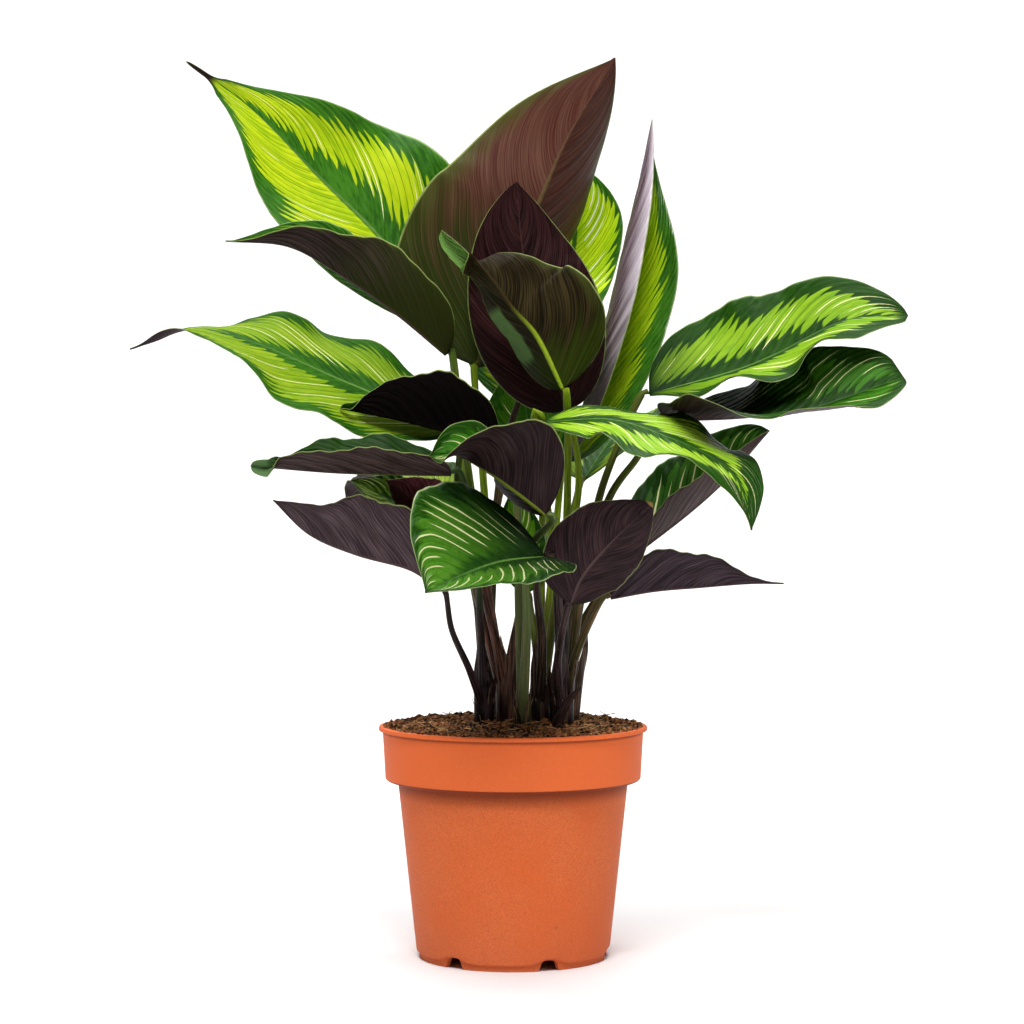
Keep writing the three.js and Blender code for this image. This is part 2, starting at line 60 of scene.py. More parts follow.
# A number or colour on its way through a shader, which can be added and scaled like a plain one.
class Wire:
    def __init__(self, tree, socket):
        self.tree = tree
        self.socket = socket

    def math(self, operation, other=0.0, first=None):
        node = self.tree.nodes.new("ShaderNodeMath")
        node.operation = operation
        values = (self, other) if first is None else (first, self)
        for slot, value in zip(node.inputs, values):
            plug(slot, value)
        return Wire(self.tree, node.outputs[0])

    def __add__(self, other):
        return self.math("ADD", other)

    __radd__ = __add__

    def __sub__(self, other):
        return self.math("SUBTRACT", other)

    def __rsub__(self, other):
        return self.math("SUBTRACT", first=other)

    def __mul__(self, other):
        return self.math("MULTIPLY", other)

    __rmul__ = __mul__

    # smooth climb from start to end while the number goes from low to high
    def ramp(self, low, high, start=0.0, end=1.0):
        node = self.tree.nodes.new("ShaderNodeMapRange")
        node.interpolation_type = "SMOOTHSTEP"
        for slot, value in zip(node.inputs, (self, low, high, start, end)):
            plug(slot, value)
        return Wire(self.tree, node.outputs[0])


def plug(slot, value):
    if isinstance(value, Wire):
        value.tree.links.new(value.socket, slot)
    else:
        slot.default_value = value


def newMaterial(name):
    material = bpy.data.materials.new(name)
    material.use_nodes = True
    tree = material.node_tree
    tree.nodes.clear()
    shader = tree.nodes.new("ShaderNodeBsdfPrincipled")
    end = tree.nodes.new("ShaderNodeOutputMaterial")
    tree.links.new(shader.outputs[0], end.inputs[0])
    return material, tree, shader


def blendColour(tree, share, first, second):
    node = tree.nodes.new("ShaderNodeMix")
    node.data_type = "RGBA"
    plug(node.inputs[0], share)
    for slot, value in ((node.inputs[6], first), (node.inputs[7], second)):
        plug(slot, value if isinstance(value, Wire) else (*value, 1.0))
    return Wire(tree, node.outputs[2])


def uvOf(tree, name):
    node = tree.nodes.new("ShaderNodeUVMap")
    node.uv_map = name
    parts = tree.nodes.new("ShaderNodeSeparateXYZ")
    tree.links.new(node.outputs[0], parts.inputs[0])
    return Wire(tree, parts.outputs[0]), Wire(tree, parts.outputs[1])


def attributeOf(tree, name):
    node = tree.nodes.new("ShaderNodeAttribute")
    node.attribute_name = name
    return Wire(tree, node.outputs["Fac"])


def lottery(tree, number):  # an even random number for each whole number
    node = tree.nodes.new("ShaderNodeTexWhiteNoise")
    node.noise_dimensions = "1D"
    plug(node.inputs["W"], number)
    return Wire(tree, node.outputs["Value"])


def noiseLine(tree, number):  # smooth noise along one number
    node = tree.nodes.new("ShaderNodeTexNoise")
    node.noise_dimensions = "1D"
    plug(node.inputs["W"], number)
    node.inputs["Scale"].default_value = 1.0
    node.inputs["Detail"].default_value = 1.0
    return Wire(tree, node.outputs[0])


def noiseSheet(tree, x, y, detail=2.0):  # smooth noise over two numbers
    place = tree.nodes.new("ShaderNodeCombineXYZ")
    plug(place.inputs[0], x)
    plug(place.inputs[1], y)
    node = tree.nodes.new("ShaderNodeTexNoise")
    node.noise_dimensions = "2D"
    tree.links.new(place.outputs[0], node.inputs["Vector"])
    node.inputs["Scale"].default_value = 1.0
    node.inputs["Detail"].default_value = detail
    return Wire(tree, node.outputs[0])


def noiseSpace(tree, scale, detail=3.0, stretch=(1, 1, 1)):  # smooth noise in space, scale per metre
    place = tree.nodes.new("ShaderNodeTexCoord")
    turn = tree.nodes.new("ShaderNodeMapping")
    turn.inputs["Scale"].default_value = stretch
    node = tree.nodes.new("ShaderNodeTexNoise")
    tree.links.new(place.outputs["Object"], turn.inputs["Vector"])
    tree.links.new(turn.outputs["Vector"], node.inputs["Vector"])
    node.inputs["Scale"].default_value = scale
    node.inputs["Detail"].default_value = detail
    return Wire(tree, node.outputs[0])


def bumpUp(tree, shader, height, distance, strength=1.0):
    node = tree.nodes.new("ShaderNodeBump")
    node.inputs["Strength"].default_value = strength
    node.inputs["Distance"].default_value = distance
    plug(node.inputs["Height"], height)
    tree.links.new(node.outputs[0], shader.inputs["Normal"])


# A mesh object from points (metres) and faces, with a UV value and named numbers at each point.
def makePiece(name, points, faces, materials, faceMaterial=None, uv=None, numbers=None, smooth=True):
    mesh = bpy.data.meshes.new(name)
    mesh.from_pydata(points.astype(float), [], faces if isinstance(faces, list) else faces.tolist())
    for material in materials:
        mesh.materials.append(material)
    if faceMaterial is not None:
        mesh.polygons.foreach_set("material_index", np.asarray(faceMaterial, np.int32))
    mesh.polygons.foreach_set("use_smooth", np.full(len(mesh.polygons), smooth))
    corner = np.zeros(len(mesh.loops), np.int32)
    mesh.loops.foreach_get("vertex_index", corner)
    for label, values in (uv or {}).items():
        layer = mesh.uv_layers.new(name=label)
        layer.data.foreach_set("uv", values[corner].astype(np.float32).ravel())
    for label, values in (numbers or {}).items():
        layer = mesh.attributes.new(label, "FLOAT", "POINT")
        layer.data.foreach_set("value", values.astype(np.float32))
    mesh.update()
    piece = bpy.data.objects.new(name, mesh)
    bpy.context.scene.collection.objects.link(piece)
    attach(piece, "root")
    return piece


# Quads between the rows of a grid of points; a loop joins its last column to its first.
def gridFaces(rows, columns, loop=False):
    i, j = np.meshgrid(np.arange(rows - 1), np.arange(columns if loop else columns - 1), indexing="ij")
    k = (j + 1) % columns
    a, b = i * columns + j, i * columns + k
    return np.stack([a, b, b + columns, a + columns], -1).reshape(-1, 4)


def unit(v):
    return v / np.maximum(np.linalg.norm(v, axis=-1, keepdims=True), 1e-12)


# Points and headings at even shares of the length of a smooth line through the given points:
# a Catmull-Rom curve, its end points carried on by their own last step.
def smoothLine(knots, shares):
    knots = np.asarray(knots, float)
    ends = np.vstack([2 * knots[0] - knots[1], knots, 2 * knots[-1] - knots[-2]])
    t = np.linspace(0, len(knots) - 1, 60 * (len(knots) - 1) + 1)
    part = np.minimum(t.astype(int), len(knots) - 2)
    u = (t - part)[:, None]
    p0, p1, p2, p3 = (ends[part + k] for k in range(4))
    m1, m2 = (p2 - p0) / 2, (p3 - p1) / 2
    line = (2 * u**3 - 3 * u**2 + 1) * p1 + (u**3 - 2 * u**2 + u) * m1
    line += (3 * u**2 - 2 * u**3) * p2 + (u**3 - u**2) * m2
    slope = (6 * u**2 - 6 * u) * p1 + (3 * u**2 - 4 * u + 1) * m1
    slope += (6 * u - 6 * u**2) * p2 + (3 * u**2 - 2 * u) * m2
    run = np.concatenate([[0], np.cumsum(np.linalg.norm(np.diff(line, axis=0), axis=1))])
    at = np.asarray(shares) * run[-1]
    place = np.stack([np.interp(at, run, line[:, k]) for k in range(3)], -1)
    heading = unit(np.stack([np.interp(at, run, slope[:, k]) for k in range(3)], -1))
    return place, heading, run[-1]


# Smooth random heights: random values on a square net, eased between its knots.
def valueNoise(x, y, cell, seed):
    net = np.random.default_rng(seed).random((97, 97))
    gx, gy = x / cell + 500, y / cell + 500
    i, j = np.floor(gx).astype(int), np.floor(gy).astype(int)
    fx, fy = gx - i, gy - j
    fx, fy = fx * fx * (3 - 2 * fx), fy * fy * (3 - 2 * fy)
    a, b = net[i % 97, j % 97], net[(i + 1) % 97, j % 97]
    c, d = net[i % 97, (j + 1) % 97], net[(i + 1) % 97, (j + 1) % 97]
    return (a * (1 - fx) + b * fx) * (1 - fy) + (c * (1 - fx) + d * fx) * fy


# For each leaf, in millimetres: the line of its midrib, the way its upper side faces at even steps,
# its half width, and for its left and right half the rise at the midrib and the curl to the edge in
# degrees, at the stalk and at the tip; then the edge waves and the shoot and way of its stalk. Half
# width, widest and taper are one number, or a pair for the left and the right half.
leafForms = {
    "crest": dict(
        rib=[(-38, 42, 335), (-72, 44, 379), (-104, 42, 411), (-139, 36, 446), (-174, 26, 471)],
        face=[(0.2, -0.9, 0.3), (0.2, -0.9, 0.3)], half=(49, 57), widest=(0.4, 0.31), taper=(1.8, 2),
        left=(20, 10, 15, 10), right=(0, 15, -10, 10), wave=(1.6, 3),
        stem=("back", [(-22, 30, 220)])),
    "fold": dict(
        rib=[(-35, 5, 314), (-62, -2, 336), (-89, -6, 354.5), (-116, -12, 369), (-148, -20, 371)],
        face=[(0, -0.1, 1), (0, -0.1, 1), (0, -0.7, 0.7)], half=30, widest=0.38, taper=1.6,
        left=(55, 55, 20, 20), right=(50, 50, 10, 10), wave=(1.5, 3),
        stem=("middle", [(-20, -1, 230)])),
    "spire": dict(
        rib=[(-19, 10, 308), (-4, 12, 360), (12, 14, 391), (29, 18, 430), (54, 20, 472)],
        face=[(0.1, 0.95, 0.1), (-0.2, 0.95, -0.1)], half=(56, 60), widest=(0.5, 0.29), taper=(0.85, 1.1),
        left=(48, 40, 50, 25), right=(5, 5, 15, 10), wave=(2, 3),
        stem=("back", [(-14, 14, 220)])),
    "plume": dict(
        rib=[(28, -15, 284), (14, -14, 326), (5, -10, 368), (2, -6, 403)],
        face=[(0, 0.95, 0.1), (0, 0.95, -0.1)], half=37, taper=(1.0, 0.72),
        left=(10, 10, 20, 15), right=(10, 10, 25, 15), wave=(1.5, 3),
        stem=("rear", [(34, -6, 243), (22, 10, 180)])),
    "hood": dict(
        rib=[(25, -46, 294), (12, -50, 320), (0, -52, 334), (-9, -53, 347), (-20, -52, 360),
             (-36, -46, 374)],
        face=[(-0.3, 0.8, -0.3), (-0.3, 0.9, -0.1), (-0.4, 0.9, -0.1), (-0.9, -0.3, -0.2)],
        half=(44, 30), widest=0.3, taper=(1.8, 1.8),
        left=(0, 0, 10, 25), right=(70, 70, 30, 30), wave=(1.5, 3),
        stem=("right", [(28, -25, 242)])),
    "pencil": dict(
        rib=[(14, 56, 320), (27, 66, 350), (34, 70, 382), (34, 70, 422)],
        face=[(0.1, -0.95, 0.2), (0.1, -0.95, 0.1)], half=(32, 26), widest=(0.42, 0.68), taper=(1.1, 0.8),
        left=(0, 0, 0, 0), right=(5, 5, 10, 10), wave=(1.5, 3),
        stem=("back", [(-7, 30, 250)])),
    "scroll": dict(
        rib=[(27.5, 25, 258), (38.5, 27, 290), (50, 30, 332), (60, 33, 374), (68.5, 34, 410),
             (74.5, 32, 441)],
        face=[(0.1, -0.95, 0.2), (0.1, -0.95, 0.1)], half=(38, 42), widest=(0.5, 0.5), taper=(0.9, 1.9),
        left=(75, 75, 60, 52), right=(35, 35, 20, 20), wave=(1.2, 3),
        stem=("rear", [(20, 24, 190)])),
    "banner": dict(
        rib=[(70, -25, 292), (111, -30, 303), (134, -34, 312), (168, -40, 328.5), (199.5, -45, 331)],
        face=[(-0.1, -0.7, 0.7), (-0.1, -0.7, 0.7)],
        half=(42, 48), widest=(0.34, 0.35), taper=(0.65, 0.35),
        left=(5, 5, 10, 10), right=(38, 30, 0, 0), wave=(2, 3),
        stem=("outer", [(51, -16, 258), (43, -9, 232), (32, 0, 180)])),
    "pennant": dict(
        rib=[(79, -28, 279), (115, -59, 279.5), (146, -71, 283), (163, -71, 288), (194, -67, 299)],
        face=[(0, -0.72, 0.7), (0, -0.72, 0.7)], half=(35, 42), widest=(0.5, 0.55), taper=(0.35, 0.55),
        left=(-10, 15, 5, 10), right=(53, 30, 15, 0), wave=(1.8, 3),
        stem=("outer", [(64, -27, 260), (48, -20, 235), (34, -6, 180)])),
    "tongue": dict(
        rib=[(16, -60, 277), (49, -65, 278), (76, -80, 269), (97, -95, 258.5), (109, -105, 246),
             (114, -115, 224)],
        face=[(0, -0.37, 0.93), (0.3, -0.37, 0.8)], half=32, taper=(1, 1.6),
        left=(-5, -5, 0, 5), right=(0, 0, 5, 5), wave=(1.8, 3),
        stem=("right", [(22, -30, 200)])),
    "wing": dict(
        rib=[(-31, -25, 275), (-66, -30, 290), (-90, -32, 300), (-132, -38, 318), (-164, -40, 324.5),
             (-194.5, -38, 314.5)],
        face=[(0.1, -0.7, 0.7), (0.1, -0.7, 0.7), (0.1, -0.6, 0.8), (0.1, 0.6, 0.8)],
        half=(36, 37), taper=(2, 2),
        left=(0, 0, 10, 10), right=(-4, -4, 0, 0), wave=(3, 3.5),
        stem=("middle", [(-27, -15, 227)])),
    "shade": dict(
        rib=[(-8, -46, 266), (-35, -48, 273), (-60, -50, 279), (-87, -50, 284)],
        face=[(0, -0.1, 1), (0, -0.1, 1)], half=30, taper=1.3,
        left=(70, 70, 10, 10), right=(50, 50, 10, 10), wave=(1.2, 3),
        stem=("front", [(2, -38, 235), (3, -31, 190)])),
    "trough": dict(
        rib=[(-31, -62, 251), (-45, -65, 251), (-78, -68, 251.5), (-98, -70, 252.5), (-130, -70, 255)],
        face=[(0, -0.1, 1), (0, -0.1, 1)], half=(23, 21), taper=(1, 1.3),
        left=(35, 35, 5, 5), right=(60, 60, 0, 0), wave=(1.4, 3),
        stem=("left", [(-19, -44, 222), (-17, -24, 180)])),
    "shield": dict(
        rib=[(16, -78, 231), (0, -82, 243), (-11, -84, 251), (-27, -84, 260), (-41, -82, 260)],
        face=[(-0.2, 0.9, 0.3), (0, 0.9, 0.3), (0, 0.5, 0.8), (0, -0.8, 0.6)], half=37,
        left=(0, 0, 15, 15), right=(60, 60, 20, 20), wave=(1.4, 3),
        stem=("front", [(7.5, -55, 211), (7, -38, 173)])),
    "cradle": dict(
        rib=[(-38, -50, 194), (-52, -52, 203.5), (-79, -55, 211), (-102, -57, 221), (-120, -58, 238)],
        face=[(0, -0.1, 1), (0, -0.1, 1)], half=34,
        left=(60, 60, 15, 15), right=(20, 20, 10, 10), wave=(1.4, 3),
        stem=("left", [(-31, -40, 172), (-22, -26, 150)])),
    "prow": dict(
        rib=[(16, -66, 210), (-6, -92, 208), (-25, -115, 202), (-41, -138, 195)],
        face=[(0.35, -0.45, 0.82), (0.35, -0.45, 0.82)], half=(41, 50), widest=(0.42, 0.5),
        left=(25, 25, 5, 5), right=(15, 15, 10, 10), wave=(1.4, 3),
        stem=("inner", [(12, -50, 198), (15, -26, 165)])),
    "paddle": dict(
        rib=[(29, -48, 186), (35, -54, 200), (48, -61, 216), (69, -70, 237)],
        face=[(0, 0.9, 0.4), (0, 0.9, 0.4)], half=(22, 26), taper=0.9,
        left=(5, 5, 15, 15), right=(5, 5, 15, 15), wave=(1.2, 3),
        stem=("right", [(23, -28, 155)])),
    "keel": dict(
        rib=[(50, -30, 188), (72, -36, 192), (94, -42, 194), (119, -48, 196), (136, -52, 196)],
        face=[(0, -0.1, 1), (0, -0.1, 1)], half=23, taper=(2.5, 2.2),
        left=(30, 30, 10, 10), right=(60, 60, 10, 10), wave=(1.4, 3),
        stem=("outer", [(32, -8, 155)])),
    "blade": dict(
        rib=[(66, 5, 211), (92, 3, 231), (112, 2, 249), (134, 0, 274)],
        face=[(-0.3, -0.6, 0.7), (-0.3, -0.6, 0.7)], half=(37, 31), widest=(0.3, 0.42), taper=(0.5, 1),
        left=(5, 5, 10, 10), right=(60, 60, 10, 10), wave=(1.4, 3),
        stem=("outer", [(36, 5, 172)])),
    "sliver": dict(
        rib=[(-38, -10, 227), (-58, -10, 235), (-84, -10, 248)],
        face=[(0.1, -0.6, 0.8), (0.1, -0.6, 0.8)], half=(19, 19),
        left=(10, 10, 10, 10), right=(10, 10, 10, 10), wave=(1, 3),
        stem=("middle", [(-12, -4, 175)])),
    "blush": dict(
        rib=[(-29, -36, 229), (-48, -40, 237), (-64, -42, 248)],
        face=[(0, 0.8, 0.5), (0, 0.8, 0.5)], half=15,
        left=(10, 10, 10, 10), right=(10, 10, 10, 10), wave=(0.8, 3),
        stem=("middle", [(-9, -12, 165)])),
    "veil": dict(
        rib=[(15, 62, 250), (8, 70, 280), (4, 74, 316)],
        face=[(0, -0.95, 0.2), (0, -0.95, 0.2)], half=25,
        left=(5, 5, 10, 10), right=(5, 5, 10, 10), wave=(1, 3),
        stem=("rear", [(15, 38, 190)])),
    "sprout": dict(
        rib=[(8, 36, 188), (4, 40, 215), (0, 42, 245)],
        face=[(0, -0.95, 0.2), (0, -0.95, 0.2)], half=14,
        left=(10, 10, 10, 10), right=(10, 10, 10, 10), wave=(0.8, 3),
        stem=("rear", [(12, 24, 160)])),
    "cloak": dict(
        rib=[(11, 86, 288), (7, 98, 320), (3, 114, 350), (0, 139, 374)],
        face=[(0, -0.8, 0.6), (0, -0.5, 0.85)], half=36,
        left=(5, 10, 10, 10), right=(5, 10, 10, 10), wave=(1.8, 3),
        stem=("back", [(-7, 82, 242), (-14, 38, 180)])),
    "train": dict(
        rib=[(14, 58, 208), (20, 84, 220), (24, 112, 218), (26, 140, 200)],
        face=[(0, -0.2, 1), (0, 0.4, 0.9)], half=30,
        left=(15, 10, 10, 10), right=(15, 10, 10, 10), wave=(1.5, 3),
        stem=("rear", [(14, 30, 165)])),
    "drape": dict(
        rib=[(-34, 48, 236), (-54, 72, 246), (-74, 96, 244), (-92, 118, 226)],
        face=[(0, -0.2, 1), (-0.3, 0.3, 0.9)], half=28,
        left=(10, 10, 10, 10), right=(15, 10, 10, 10), wave=(1.5, 3),
        stem=("back", [(-18, 26, 175)])),
    "sail": dict(
        rib=[(38, 54, 248), (54, 78, 270), (70, 102, 284), (86, 124, 282)],
        face=[(-0.3, -0.4, 0.9), (0, 0, 1)], half=28,
        left=(10, 10, 10, 10), right=(15, 10, 10, 10), wave=(1.5, 3),
        stem=("rear", [(22, 32, 185)])),
}

# Tips that turn over or thin out: the share of the way along where that starts, the way the upper
# side faces from there (None: as before), and the half width of the tip in millimetres.
tipForms = {
    "crest": (0.885, None, 1.0),
    "hood": (0.74, (-0.5, -0.85, 0.25), 8.5),
    "trough": (0.86, (-0.2, -0.95, 0.1), 6.5),
    "shade": (0.88, (-0.1, -0.9, 0.35), 4.5),
}

# How many millimetres more the edge swings up and down, on the left and on the right half.
edgeSwings = {
    "crest": (0.5, 3.0), "hood": (-1.4, -1.4), "scroll": (0, 1.0), "banner": (0.5, 5.0),
    "pennant": (0.5, 3.5), "tongue": (2.0, 1.5), "wing": (1.0, 1.5), "trough": (-0.6, 0.4),
    "cradle": (-2.8, 2.8),
}

# Shared by all blades, in millimetres: rows along, strips across one half, thickness at the midrib,
# the midrib's height and width below the blade and the groove above it, the least half width at the
# stalk and at the tip, the usual widest place and taper, how far a side vein sweeps towards the tip
# and how it bows, the fine ripple between the side veins and the small frill of the edge.
bladeMake = dict(
    rows=96, strips=20, thick=0.62, keel=0.85, keelWide=1.1, groove=0.3, stalkHalf=1.6, tipHalf=0.5,
    widest=0.42, taper=1.1, sweep=0.40, bow=1.15, ripple=0.26, ripples=11, frill=0.35,
    frills=11, grooveWide=0.8,
)

# Tones of the upper sides. The bright zone runs from dull to lime; ribLow and ribHigh are the midrib
# at the stalk and at the tip; underMargin is the thin edge seen from below. The near-black green that
# follows lifted is painted shade laid on towards the stalk.
leafTones = dict(
    dull=(0.026, 0.15, 0.006), lime=(0.34, 0.53, 0.004), dark=(0.013, 0.066, 0.004),
    lifted=(0.034, 0.130, 0.007), paintedStalkShade=(0.004, 0.016, 0.003), cream=(0.72, 0.72, 0.36),
    ribLow=(0.15, 0.30, 0.05), ribHigh=(0.05, 0.13, 0.03), margin=(0.34, 0.44, 0.18),
    underMargin=(0.26, 0.32, 0.10),
)

# How each upper side is marked. The bright zone is given by lime from 0 to 1, or by band, its colour;
# rim and mid are the shares of the half width that stay dark at the edge and at the midrib (left,
# right). stripes is the share of lanes with a cream stripe, deep how dark the green is. The rest is
# only there where it differs: the painted shade towards the stalk (how far it darkens the blade, and
# its strength; partly also the leaf's own duller tone there), fade (from where the bright zone narrows
# to the tip, and by how much), soft (blur of its edge), lines (how dark its side veins are), laneWidth
# (mm between side veins), cream, stripe and reach (the stripes' colour, half width and end), gloss and
# sheen, and tip (from where, and the colour there).
upperUsual = dict(
    fade=(0.78, 0.25), soft=0.0, lines=0.85, laneWidth=6.4, cream=leafTones["cream"], stripe=0.088,
    reach=0.62, gloss=0.32, sheen=0.08,
)
upperLooks = {
    "crest": dict(band=(0.32, 0.465, 0.004), rim=0.20, mid=(0.02, 0.22), stripes=0.16, deep=0.75, seed=3,
                  tip=(0.895, (0.035, 0.020, 0.016))),
    "fold": dict(lime=0.2, rim=0.2, mid=(0.3, 0.3), stripes=0.0, deep=0.7, seed=11),
    "spire": dict(lime=0.8, rim=0.2, mid=(0.2, 0.2), stripes=0.1, deep=0.6, seed=17),
    "plume": dict(lime=0.5, rim=0.2, mid=(0.2, 0.2), stripes=0.2, deep=0.8, seed=23),
    "hood": dict(lime=0.3, rim=0.2, mid=(0.2, 0.3), stripes=0.3, deep=0.35, seed=29,
                 tip=(0.72, (0.15, 0.30, 0.06))),
    "pencil": dict(band=(0.41, 0.65, 0.006), rim=0.10, mid=(0.04, 0.04), stripes=0.85, deep=0.7, seed=31,
                   reach=0.72, cream=(0.85, 0.86, 0.56), stripe=0.13),
    "scroll": dict(lime=0.92, rim=0.26, mid=(0.0, 0.0), stripes=0.0, deep=0.8, seed=37, gloss=0.24,
                   sheen=0.6),
    "banner": dict(band=(0.165, 0.330, 0.007), rim=0.24, mid=(0.16, 0.12), stripes=0.34, deep=1.9, seed=41,
                   paintedStalkShade=(0.3, 0.7), lines=0.6, laneWidth=7.5, fade=(0.7, 0.45), soft=0.01, sheen=0.055),
    "pennant": dict(lime=0.05, rim=0.25, mid=(0.25, 0.2), stripes=0.55, deep=1.7, seed=43,
                    paintedStalkShade=(1.0, 0.95), reach=0.7),
    "tongue": dict(band=(0.24, 0.45, 0.014), rim=0.15, mid=(0.14, 0.16), stripes=0.3, deep=1.5, seed=47,
                   fade=(0.55, 0.85), lines=0.5, soft=0.015, sheen=0.11),
    "wing": dict(band=(0.165, 0.290, 0.007), rim=0.14, mid=(0.10, 0.18), stripes=0.30, deep=1.0, seed=53,
                 paintedStalkShade=(0.3, 0.4), lines=0.75, sheen=0.05),
    "shade": dict(lime=0.1, rim=0.3, mid=(0.2, 0.2), stripes=0.1, deep=0.9, seed=59),
    "trough": dict(lime=0.03, rim=0.5, mid=(0.4, 0.4), stripes=0.05, deep=2.4, seed=61,
                   tip=(0.87, (0.11, 0.21, 0.075))),
    "shield": dict(lime=0.03, rim=0.25, mid=(0.1, 0.1), stripes=0.8, deep=1.5, seed=67),
    "cradle": dict(lime=0.3, rim=0.2, mid=(0.2, 0.2), stripes=0.3, deep=0.9, seed=71),
    "prow": dict(band=(0.048, 0.160, 0.007), rim=0.15, mid=(0.12, 0.08), stripes=0.95, deep=1.5, seed=73,
                 paintedStalkShade=(0.85, 0.97), reach=0.72, cream=(0.50, 0.52, 0.26), laneWidth=7.0, lines=0.30,
                 soft=0.05, sheen=0.17, gloss=0.24),
    "paddle": dict(lime=0.3, rim=0.2, mid=(0.2, 0.2), stripes=0.3, deep=1.0, seed=79),
    "keel": dict(lime=0.3, rim=0.2, mid=(0.2, 0.2), stripes=0.3, deep=1.0, seed=83),
    "blade": dict(lime=0.05, rim=0.2, mid=(0.15, 0.1), stripes=0.6, deep=1.6, seed=89,
                  paintedStalkShade=(0.7, 0.8), reach=0.72, laneWidth=9),
    "sliver": dict(lime=0.35, rim=0.12, mid=(0.1, 0.1), stripes=0.9, deep=0.9, seed=97, reach=0.8),
    "blush": dict(lime=0.2, rim=0.2, mid=(0.2, 0.2), stripes=0.1, deep=1.0, seed=101),
    "veil": dict(lime=0.1, rim=0.3, mid=(0.2, 0.2), stripes=0.15, deep=0.9, seed=103),
    "sprout": dict(lime=0.15, rim=0.2, mid=(0.1, 0.1), stripes=0.4, deep=1.8, seed=107),
    "cloak": dict(lime=0.8, rim=0.2, mid=(0.15, 0.2), stripes=0.2, deep=0.8, seed=109),
    "train": dict(lime=0.6, rim=0.22, mid=(0.2, 0.15), stripes=0.4, deep=1.0, seed=113),
    "drape": dict(lime=0.7, rim=0.2, mid=(0.15, 0.15), stripes=0.3, deep=1.0, seed=127),
    "sail": dict(lime=0.5, rim=0.2, mid=(0.2, 0.2), stripes=0.4, deep=1.0, seed=131),
}

# How each underside is coloured: the tone between the veins, the tone of the streaks along them, the
# midrib and from where to where it fades, the tone at the edge and how far in it reaches, and the tone
# at the stalk and its reach. gloss is how rough the side is and sheen how strongly it mirrors. Some have
# a patch of another tone on the right half, or a tip (from where, and the tone there).
plum = dict(tone=(0.011, 0.005, 0.006), streak=(0.052, 0.028, 0.032), rib=(0.070, 0.040, 0.040),
            edge=(0.030, 0.016, 0.019), edgeReach=0.05, base=(0.018, 0.010, 0.010), baseReach=0.05,
            gloss=0.38, sheen=0.06, ribFade=(0.35, 0.9))
underLooks = {
    "fold": dict(tone=(0.008, 0.004, 0.003), streak=(0.062, 0.038, 0.036), base=(0.024, 0.032, 0.002),
                 baseReach=0.70, edge=(0.05, 0.075, 0.010), edgeReach=0.10),
    # spire: red-brown tone partly its own colour, partly a painted glow standing in for light shining through
    # the leaf from behind
    "spire": dict(tone=(0.056, 0.015, 0.010), streak=(0.112, 0.048, 0.031), edge=(0.058, 0.066, 0.014),
                  edgeReach=0.32, base=(0.014, 0.030, 0.002), baseReach=0.55, rib=(0.10, 0.075, 0.025)),
    "plume": dict(tone=(0.006, 0.002, 0.002), streak=(0.040, 0.012, 0.013), rib=(0.045, 0.018, 0.016),
                  sheen=0.04, edge=(0.016, 0.007, 0.008)),
    "hood": dict(tone=(0.006, 0.004, 0.0015), streak=(0.034, 0.024, 0.008), rib=(0.24, 0.33, 0.02),
                 ribFade=(0.22, 0.52), patch=(0.10, 0.19, 0.05), sheen=0.035, edge=(0.034, 0.040, 0.008),
                 edgeReach=0.2, base=(0.020, 0.032, 0.002), baseReach=0.3),
    # scroll: pale mauve tones partly its own colour, partly painted sheen; the near-white edge tone is a
    # painted highlight
    "scroll": dict(tone=(0.095, 0.055, 0.068), streak=(0.30, 0.22, 0.26), gloss=0.26, sheen=0.4,
                   edge=(0.66, 0.58, 0.64), edgeReach=0.42, base=(0.030, 0.014, 0.012), baseReach=0.62),
    # shade: near-black tones, the leaf's dark plum deepened into painted shade, as it lies in shadow under
    # the leaves above
    "shade": dict(tone=(0.002, 0.001, 0.001), streak=(0.005, 0.003, 0.003), rib=(0.006, 0.004, 0.003),
                  sheen=0.03, gloss=0.5, edge=(0.004, 0.004, 0.002), base=(0.002, 0.001, 0.001)),
    "trough": dict(tone=(0.011, 0.006, 0.005), streak=(0.075, 0.049, 0.046), rib=(0.06, 0.075, 0.008)),
    "shield": dict(tone=(0.009, 0.004, 0.005), streak=(0.036, 0.020, 0.021), rib=(0.14, 0.18, 0.02),
                   sheen=0.05),
    "cradle": dict(tone=(0.026, 0.015, 0.018), streak=(0.092, 0.062, 0.070)),
    "paddle": dict(tone=(0.008, 0.003, 0.004), streak=(0.048, 0.022, 0.025), sheen=0.09,
                   tip=(0.965, (0.42, 0.25, 0.08))),
    "keel": dict(tone=(0.020, 0.012, 0.016), streak=(0.070, 0.048, 0.058)),
    "blade": dict(tone=(0.018, 0.008, 0.008), streak=(0.072, 0.040, 0.038)),
    "wing": dict(tone=(0.030, 0.018, 0.022), streak=(0.060, 0.042, 0.048)),
    "blush": dict(tone=(0.040, 0.008, 0.011), streak=(0.075, 0.020, 0.024)),
}


# How far along a blade its half width reaches: a quarter round at the stalk, then drawn out to the
# tip as one less a power of the way on, raised to the taper.
def outline(along, widest, taper):
    back = np.clip((widest - along) / widest, 0, 1)
    ahead = np.clip((along - widest) / (1 - widest), 0, 1)
    return np.where(along < widest, np.sqrt(1 - back**2), (1 - ahead**1.9) ** taper)


# A value of a leaf that is one number, or a pair for its left and its right half.
def perHalf(form, key, across):
    return np.where(across < 0, *np.broadcast_to(form.get(key, bladeMake.get(key)), 2))


